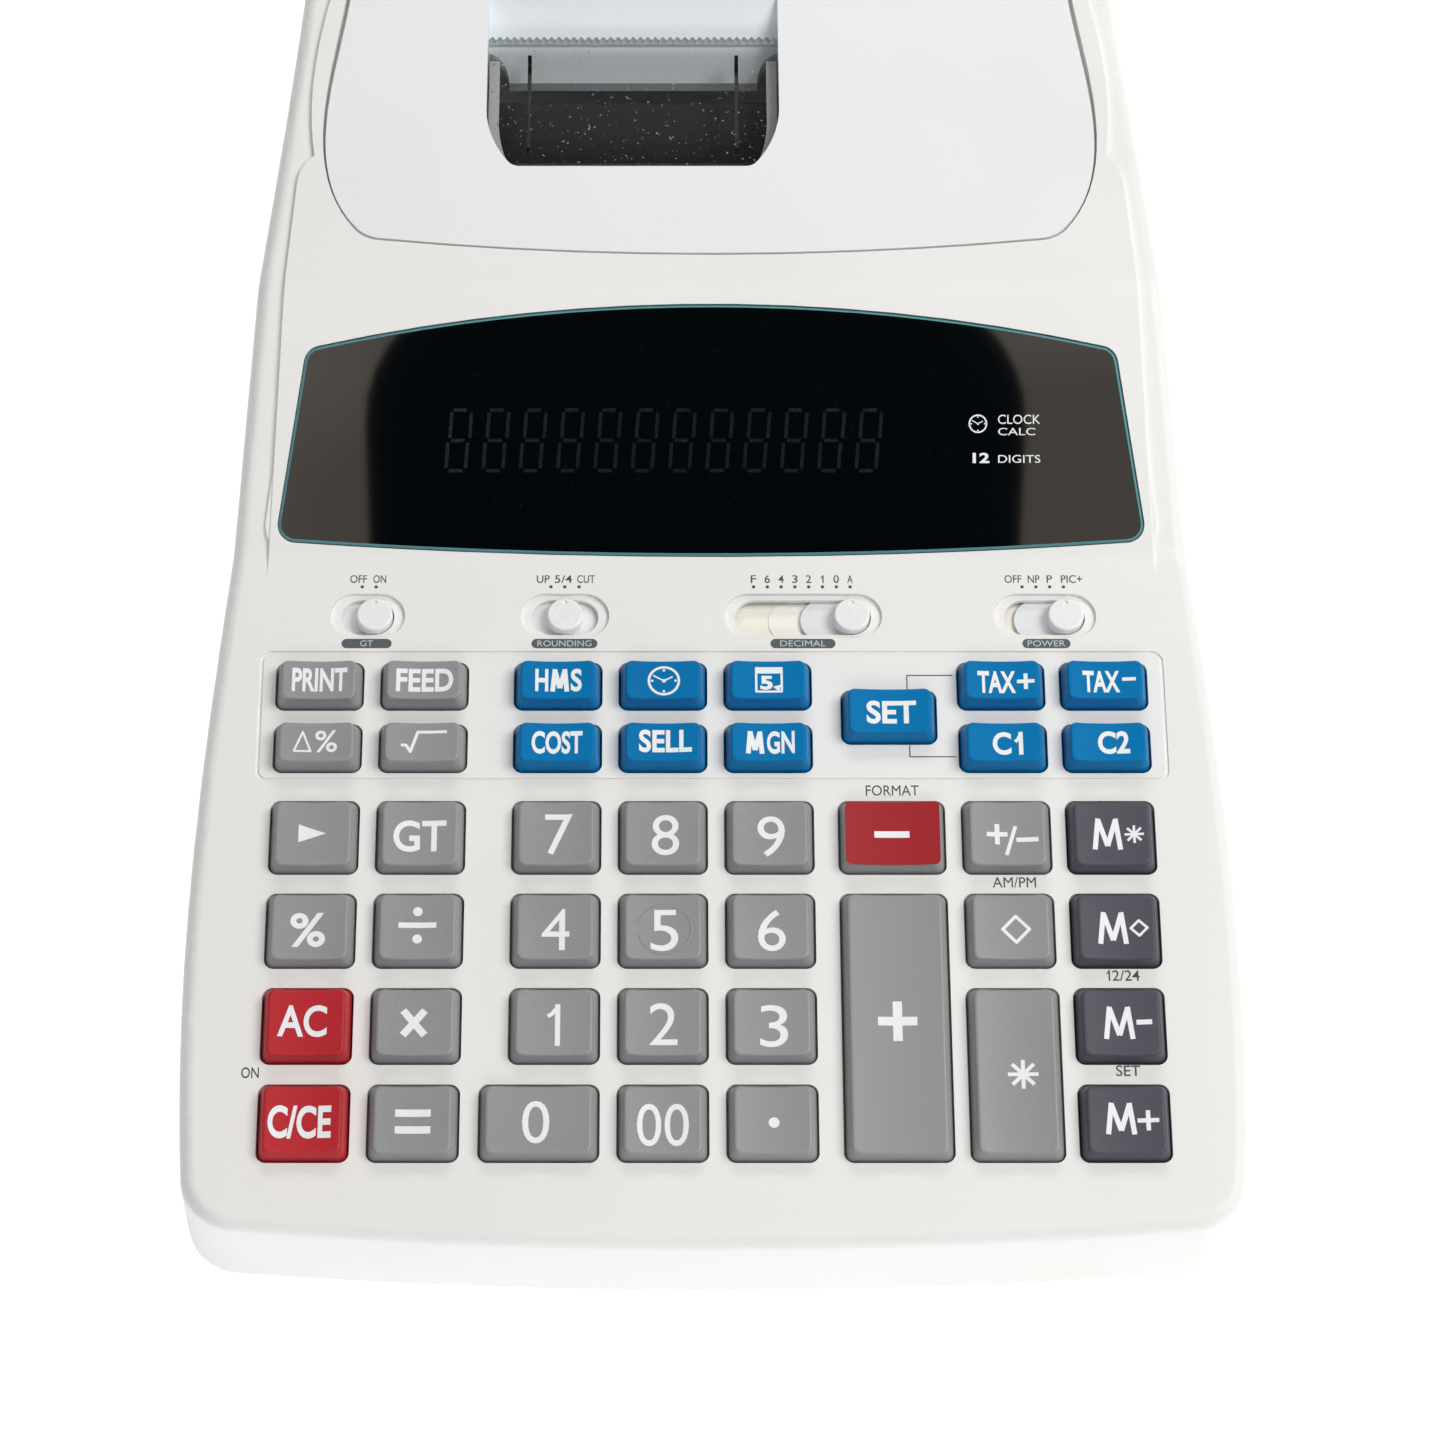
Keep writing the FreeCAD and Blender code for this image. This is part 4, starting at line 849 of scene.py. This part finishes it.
def calendar_page(x=0.0, y=0.0):
    w, h = 2.55, 2.6
    frame_line = pen([(x - w, y - h), (x + w, y - h), (x + w, y + h), (x - w, y + h)], 0.45, closed=True)
    fold = spot(0.95, x + 1.75, y - 1.75, 3, math.radians(-45))
    return together(frame_line, bar(5.0, 1.15, x, y + 2.0), word("5", 2.5, 3.1, x - 0.5, y - 0.65, 0.04), fold)


print("signs ready")

# %% [markdown]
# ## Printing the keys
#
# A table gives each key its legend. The number keys carry tall, light figures; the function keys short bold
# words. The legend sits a little forward of the cap's middle, as the dish and the sloping back push it
# there.

# %% Legends
legends = {
    "print": lambda: word("PRINT", 11.0, 5.2, 0.2, -0.3, 0.03),
    "feed": lambda: word("FEED", 11.4, 5.1, 0.2, -0.4, 0.03),
    "time_format": lambda: together(word("H", 2.6, 5.0, -3.2, -0.4, 0.03), letter_m(3.8, 5.0, 0.95, 0.4, -0.4),
                                    word("S", 2.2, 5.1, 3.7, -0.4, 0.03)),
    "clock": lambda: clock_face(3.25, 0.5, 0.2, -0.5),
    "calendar": lambda: calendar_page(0.2, -0.3),
    "tax_plus": lambda: together(word("TAX", 7.6, 4.9, -1.1, -0.8, 0.03), plus(3.5, 3.5, 0.8, 4.7, -0.7)),
    "tax_minus": lambda: together(word("TAX", 7.4, 4.8, -0.8, -0.7, 0.03), bar(2.7, 0.75, 4.75, -0.2)),
    "margin_percent": lambda: together(pen([(-4.4, -2.3), (-1.1, -2.3), (-2.75, 1.9)], 0.42, closed=True),
                                       word("%", 4.4, 4.8, 1.95, -0.15, 0.01)),
    "square_root": lambda: pen([(-4.2, -1.0), (-3.2, -1.0), (-2.3, -2.4), (-0.9, 1.9), (4.9, 1.9)], 0.62),
    "cost": lambda: word("COST", 10.1, 5.0, 0.0, -0.4, 0.03),
    "sell": lambda: word("SELL", 10.5, 5.0, 0.5, -0.1, 0.03),
    "margin": lambda: together(letter_m(3.7, 4.9, 0.95, -2.7, -0.4), word("GN", 5.5, 5.0, 2.4, -0.4, 0.03)),
    "convert_1": lambda: together(word("C", 3.7, 5.0, -0.5, -0.6, 0.03), figure_one(5.0, 0.85, 2.9, -0.6)),
    "convert_2": lambda: word("C2", 6.3, 5.0, 1.1, -0.4, 0.03),
    "set": lambda: word("SET", 9.9, 5.1, 0.3, -0.6, 0.03),
    "shift_right": lambda: spot(3.6, -1.1, -0.25, 3, math.radians(-90), 0.62),
    "grand_total": lambda: word("GT", 10.4, 6.8, 0.0, -0.85, 0.02),
    "change_sign": lambda: together(plus(4.1, 4.4, 0.95, -2.05, -0.45), pen([(-0.3, -4.9), (1.6, 1.3)], 0.75),
                                    bar(4.3, 0.95, 3.85, -1.65)),
    "memory_total": lambda: together(letter_m(6.0, 6.7, 0.98, -1.0, -0.4), star(3.8, 0.5, 4.3, -0.5)),
    "memory_subtotal": lambda: together(letter_m(6.0, 6.7, 0.98, -0.8, -0.5), diamond(3.9, 3.9, 0.5, 4.3, -0.55)),
    "memory_subtract": lambda: together(letter_m(6.1, 6.7, 0.98, -0.5, -0.35), bar(3.0, 1.0, 4.35, -0.25)),
    "memory_add": lambda: together(letter_m(6.0, 6.4, 0.98, -1.05, 0.0), plus(4.1, 4.1, 0.85, 4.15, -0.4)),
    "percent": lambda: word("%", 6.9, 7.2, -0.35, -0.9, 0.02),
    "divide": lambda: together(bar(7.4, 1.15, 0, 0.1), spot(0.95, 0, 3.0), spot(0.95, 0, -2.8)),
    "multiply": lambda: together(pen([(-2.3, -2.9), (1.9, 2.2)], 1.45), bar_turned(6.6, 1.45, -0.2, -0.35, -50.5)),
    "equals": lambda: together(bar(6.8, 1.5, 0.1, 1.1), bar(6.8, 1.5, 0.1, -2.3)),
    "subtotal": lambda: diamond(6.1, 6.4, 0.65, 0.95, -0.75), "total": lambda: star(5.9, 0.75, 1.25, -0.95),
    "add": lambda: plus(7.6, 8.2, 1.8, 0.05, 0.0), "subtract": lambda: bar(6.9, 1.4, -0.15, -0.5),
    "clear_all": lambda: word("AC", 9.5, 6.6, -0.7, 0.0, 0.02),
    "clear_entry": lambda: word("C/CE", 12.1, 6.7, -0.5, -0.7, 0.03),
    "decimal_point": lambda: spot(1.05, 0.2, -0.8),
    "double_zero": lambda: word("00", 9.9, 8.6, 0.0, -1.3, 0.0),
    "0": lambda: word("0", 5.2, 8.6, -0.5, -0.7, 0.0), "1": lambda: figure_one(8.6, 1.0, 0.1, -0.8)}
slips = ((0.1, -0.6), (0.4, -1.0), (0.1, -0.8), (0.3, -1.0), (0.2, -1.0), (0.5, -0.5), (0.5, -0.6), (0.3, -0.9))
for figure, slip in zip("23456789", slips):
    legends[figure] = lambda figure=figure, slip=slip: word(figure, 5.4, 8.7, slip[0], slip[1], 0.0)


def drape(bm, half, height):
    """Cuts a print into millimetre strips and lets it down on the dish."""
    for index in range(-10, 11):
        cut_across(bm, index + 0.013)
    for v in bm.verts:
        v.co.z += dish_height(v.co.x, half, height) + 0.01


for name, (x, along, width, depth, height) in places.items():
    bm = legends[name[4:]]()
    drape(bm, width / 2 - GAP - SIDE_RUN, height)
    for face in bm.faces:
        face.smooth = False
    lay(bm, DECK, x, along)
    make_piece(name + "_legend", bm, [legend_ink], name)
print(len(places), "legends printed")

# %% [markdown]
# ## Two special caps
#
# The subtract key is grey like its neighbours, but its whole top is printed deep red. The middle key of the
# number block has a shallow ring round its figure that the finger can find without looking.

# %% Red top and finding ring
x, along, width, depth, height = places["key_subtract"]
half = width / 2 - GAP - SIDE_RUN
bm = bmesh.new()
bmesh.ops.create_grid(bm, x_segments=1, y_segments=1, size=0.5)
bmesh.ops.scale(bm, vec=(2 * half + 0.2, depth - 2 * GAP - FRONT_RUN - BACK_RUN - 0.1, 1), verts=bm.verts)
move(bm, (0, (FRONT_RUN - BACK_RUN) / 2, 0))
bmesh.ops.bevel(bm, geom=bm.verts[:], affect="VERTICES", offset=1.2, segments=6, profile=0.5, material=-1)
thicken(bm)
drape(bm, half, height - 0.012)
lay(bm, DECK, x, along)
make_piece("key_subtract_red_top", bm, [deep_red_print], "key_subtract")

x, along, width, depth, height = places["key_5"]
bm = ring(5.2, 0.35, 0.3, -0.8)
drape(bm, width / 2 - GAP - SIDE_RUN, height - 0.015)
for face in bm.faces:
    face.smooth = True
lay(bm, DECK, x, along)
make_piece("key_5_finding_ring", bm, [grey_keys], "key_5")
print("special caps done")

# %% [markdown]
# ## Printing on the deck
#
# The slide switches have a row of dots with small letters behind them, and a dark pill with the switch's
# name in front. Four keys have a second meaning printed behind them, and two thin lines tie the SET key to
# the keys it sets. All of it is one film of ink on the housing.


# %% Deck printing
def pill(width, height, x, y):
    """A printed bar with round ends."""
    bm = stadium(width, height, 32)
    thicken(bm)
    move(bm, (x, y, 0))
    return bm


dark_prints, pills, pale_prints = [], [], []
DOT_LINE, LETTER_LINE, PILL_LINE = 140.2, 142.0, 127.3
switches = {
    "GT": ((-74.6, -64.5), 2.6, [-70.8, -68.0], [("OFF", -71.6, 3.4), ("ON", -67.3, 2.6)]),
    "ROUNDING": ((-36.3, -23.0), 10.9, [-32.5, -29.7, -26.8],
                 [("UP", -34.1, 2.6), ("5/4", -30.0, 3.5), ("CUT", -25.4, 3.6)]),
    "DECIMAL": ((11.9, 25.0), 9.2, [8.6 + 2.8 * i for i in range(8)],
                [(letter, 8.6 + 2.8 * i, 1.1) for i, letter in enumerate("F643210A")]),
    "POWER": ((62.7, 72.4), 7.6, [63.1, 65.9, 68.7, 71.5],
              [("OFF", 61.3, 3.4), ("NP", 65.5, 2.4), ("P", 68.7, 1.1), ("PIC+", 73.2, 4.3)])}
for name, (ends, text_width, dots, letters) in switches.items():
    middle = sum(ends) / 2
    pills.append(pill(ends[1] - ends[0], 2.1, middle, PILL_LINE))
    label = word(name, text_width, 1.35, middle, PILL_LINE, 0.0)
    move(label, (0, 0, 2 * INK))
    pale_prints.append(label)
    dark_prints += [spot(0.36, x, DOT_LINE, 14) for x in dots]
    dark_prints += [figure_one(1.8, 0.24, x, LETTER_LINE) if text == "1"
                    else word(text, wide, 1.8, x, LETTER_LINE, 0.006) for text, x, wide in letters]
for text, x, y, wide in (("FORMAT", 35.7, 94.6, 10.5), ("AM/PM", 59.2, 74.7, 8.5), ("2/24", 80.2, 54.9, 5.3),
                         ("SET", 79.7, 35.1, 4.7), ("ON", -89.2, 34.7, 3.4)):
    dark_prints.append(word(text, wide, 2.25, x, y, 0.0 if "M" in text else 0.006))
dark_prints.append(figure_one(2.25, 0.3, 76.8, 54.9))
dark_prints.append(pen([(39.2, 117.0), (39.2, 120.1), (48.4, 120.1)], 0.22))
dark_prints.append(pen([(39.4, 104.5), (39.4, 102.0), (48.6, 102.0)], 0.22))
for name, parts, material in (("deck_dark_printing", dark_prints, dark_ink), ("switch_name_pills", pills, pill_ink),
                              ("switch_names", pale_prints, pale_ink)):
    bm = together(*parts)
    move(bm, (0, 0, 0.01))
    lay(bm, DECK, 0, 0)
    make_piece(name, bm, [material], "housing")
print("deck printed")

# %% [markdown]
# ## The display window's printing
#
# The window has a small block of plain white printing at its right, and when the display is off you can
# just see its unlit digits as slightly greener shapes in the black. Both are prints on the window.

# %% Window printing
white_parts = [clock_face(1.9, 0.3, 54.4, 3.0), word("CLOCK", 8.6, 1.9, 62.8, 3.9, 0.0),
               word("CALC", 7.6, 1.5, 62.3, 1.4, 0.0), word("12", 3.4, 2.1, 55.0, -4.0, 0.03),
               word("DIGITS", 8.6, 1.6, 62.8, -4.2, 0.0)]
bm = together(*white_parts)
move(bm, (0, 0, 0.01))
lay(bm, HOOD, 0, 26.0)
make_piece("window_white_printing", bm, [legend_ink], "housing")

ghost_parts = []
for index in range(12):
    x = -52.0 + index * 7.6
    for upper in (0, 1):
        y = 25.6 + upper * 6.2 - 3.1
        slant = 0.8 * upper
        ghost_parts.append(pen([(x - 2.0 + slant, y - 2.6), (x - 1.6 + slant, y + 2.6)], 0.7))
        ghost_parts.append(pen([(x + 2.0 + slant, y - 2.6), (x + 2.4 + slant, y + 2.6)], 0.7))
    for step in range(3):
        y = 19.4 + 6.2 * step
        ghost_parts.append(pen([(x - 1.4 + 0.4 * step, y), (x + 1.4 + 0.4 * step, y)], 0.7))
bm = together(*ghost_parts)
bmesh.ops.scale(bm, vec=(1, 1, 0.3), verts=bm.verts)
lay(bm, HOOD, 0, 0)
make_piece("unlit_digits", bm, [ghost_ink], "housing")
print("window printed")

# %% [markdown]
# ## Floor, light and camera
#
# The calculator stands on a plain pale surface in a soft, bright studio. A large softbox above and to the
# right does most of the work, two weaker ones fill from the front and the rear, and a pale sky lifts the
# shadows. Glossy black shows whatever is opposite it, so two cards hang above the display window for its
# reflections only: a warm ceiling, and a dark card under it.

# %% Floor
bm = bmesh.new()
bmesh.ops.create_grid(bm, x_segments=1, y_segments=1, size=3.0)
bmesh.ops.bevel(bm, geom=bm.verts[:], affect="VERTICES", offset=0.4, segments=4, profile=0.5, material=-1)
mesh = bpy.data.meshes.new("pale_floor")
bm.to_mesh(mesh)
bm.free()
pale_card = moulded("pale_matte_card", "#FBFBFB", "#F8F8F8", 0.8, grain=1.5, depth=0.01)
glow = pale_card.node_tree.nodes["Principled BSDF"].inputs
glow["Emission Color"].default_value = linear("#FFFFFF")
glow["Emission Strength"].default_value = 0.62
mesh.materials.append(pale_card)
floor = bpy.data.objects.new("pale_floor", mesh)
bpy.context.scene.collection.objects.link(floor)
print("floor laid")

# %% Light
world = bpy.data.worlds.new("pale studio")
world.use_nodes = True
world.node_tree.nodes["Background"].inputs["Color"].default_value = linear("#F4F6FA")
world.node_tree.nodes["Background"].inputs["Strength"].default_value = 0.23
bpy.context.scene.world = world
bpy.context.scene.view_settings.view_transform = "Standard"


def softbox(name, place, target, size, power, colour):
    lamp = bpy.data.lights.new(name, "AREA")
    lamp.shape = "RECTANGLE"
    lamp.size, lamp.size_y = size
    lamp.energy = power
    lamp.color = linear(colour)[:3]
    made = bpy.data.objects.new(name, lamp)
    made.location = place
    made.rotation_euler = (Vector(target) - Vector(place)).to_track_quat("-Z", "Y").to_euler()
    bpy.context.scene.collection.objects.link(made)


softbox("right_softbox", (1.0, -0.1, 1.45), (0, 0, 0.05), (0.8, 0.8), 18.0, "#FFFDFA")
softbox("front_softbox", (0.1, -1.5, 0.9), (0, 0, 0.03), (1.4, 0.6), 6, "#EEF4FF")
softbox("rear_softbox", (0.1, 0.95, 1.1), (0, 0.05, 0.05), (1.0, 0.3), 4.6, "#FFFFFF")
print("lights set")


# %% Cards above the window
def card(name, size, place, material):
    """A card that only reflections see: it neither lights the scene nor hides anything from the camera."""
    bm = bmesh.new()
    bmesh.ops.create_grid(bm, x_segments=1, y_segments=1, size=0.5)
    bmesh.ops.scale(bm, vec=(size[0], size[1], 1), verts=bm.verts)
    bmesh.ops.bevel(bm, geom=bm.verts[:], affect="VERTICES", offset=0.06, segments=8, profile=0.5, material=-1)
    move(bm, place)
    mesh = bpy.data.meshes.new(name)
    bm.to_mesh(mesh)
    bm.free()
    mesh.materials.append(material)
    made = bpy.data.objects.new(name, mesh)
    made.visible_camera = False
    made.visible_diffuse = False
    made.visible_shadow = False
    bpy.context.scene.collection.objects.link(made)


black_felt = worn("black_felt_card", "#050505", "#030303", 0.95, 0.0, 2.0, 0.02)
black_felt.node_tree.nodes["Principled BSDF"].inputs["Specular IOR Level"].default_value = 0.0
warm_wall = bpy.data.materials.new("warm_painted_ceiling")
warm_wall.use_nodes = True
warm_tree = warm_wall.node_tree
warm_place = add(warm_tree, "ShaderNodeTexCoord").outputs["Object"]
warm_patches = add(warm_tree, "ShaderNodeTexNoise", {"Vector": warm_place, "Scale": per_mm(180), "Detail": 1.0})
warm_tone = two_tones(warm_tree, warm_patches.outputs["Fac"], "#8C8378", "#B5AA9D", 0.42, 0.62)
warm_glow = add(warm_tree, "ShaderNodeEmission", {"Color": warm_tone, "Strength": 5.2})
warm_tree.links.new(warm_glow.outputs["Emission"], warm_tree.nodes["Material Output"].inputs["Surface"])
card("warm_ceiling", (1.6, 0.9), (0.0, -0.45, 0.95), warm_wall)
card("dark_card", (0.258, 0.22), (0.003, -0.375, 0.80), black_felt)
print("cards hung")

# %% Camera
camera_data = bpy.data.cameras.new("camera")
camera_data.sensor_width = 36
camera_data.lens = 107.95
camera_data.shift_x = 0.0416
camera = bpy.data.objects.new("camera", camera_data)
camera.location = (-9.9 * MM, -537.5 * MM, 758.5 * MM)
camera.rotation_euler = (math.radians(33.94), 0, 0)
bpy.context.scene.collection.objects.link(camera)
bpy.context.scene.camera = camera
print("camera at", camera.location[:])
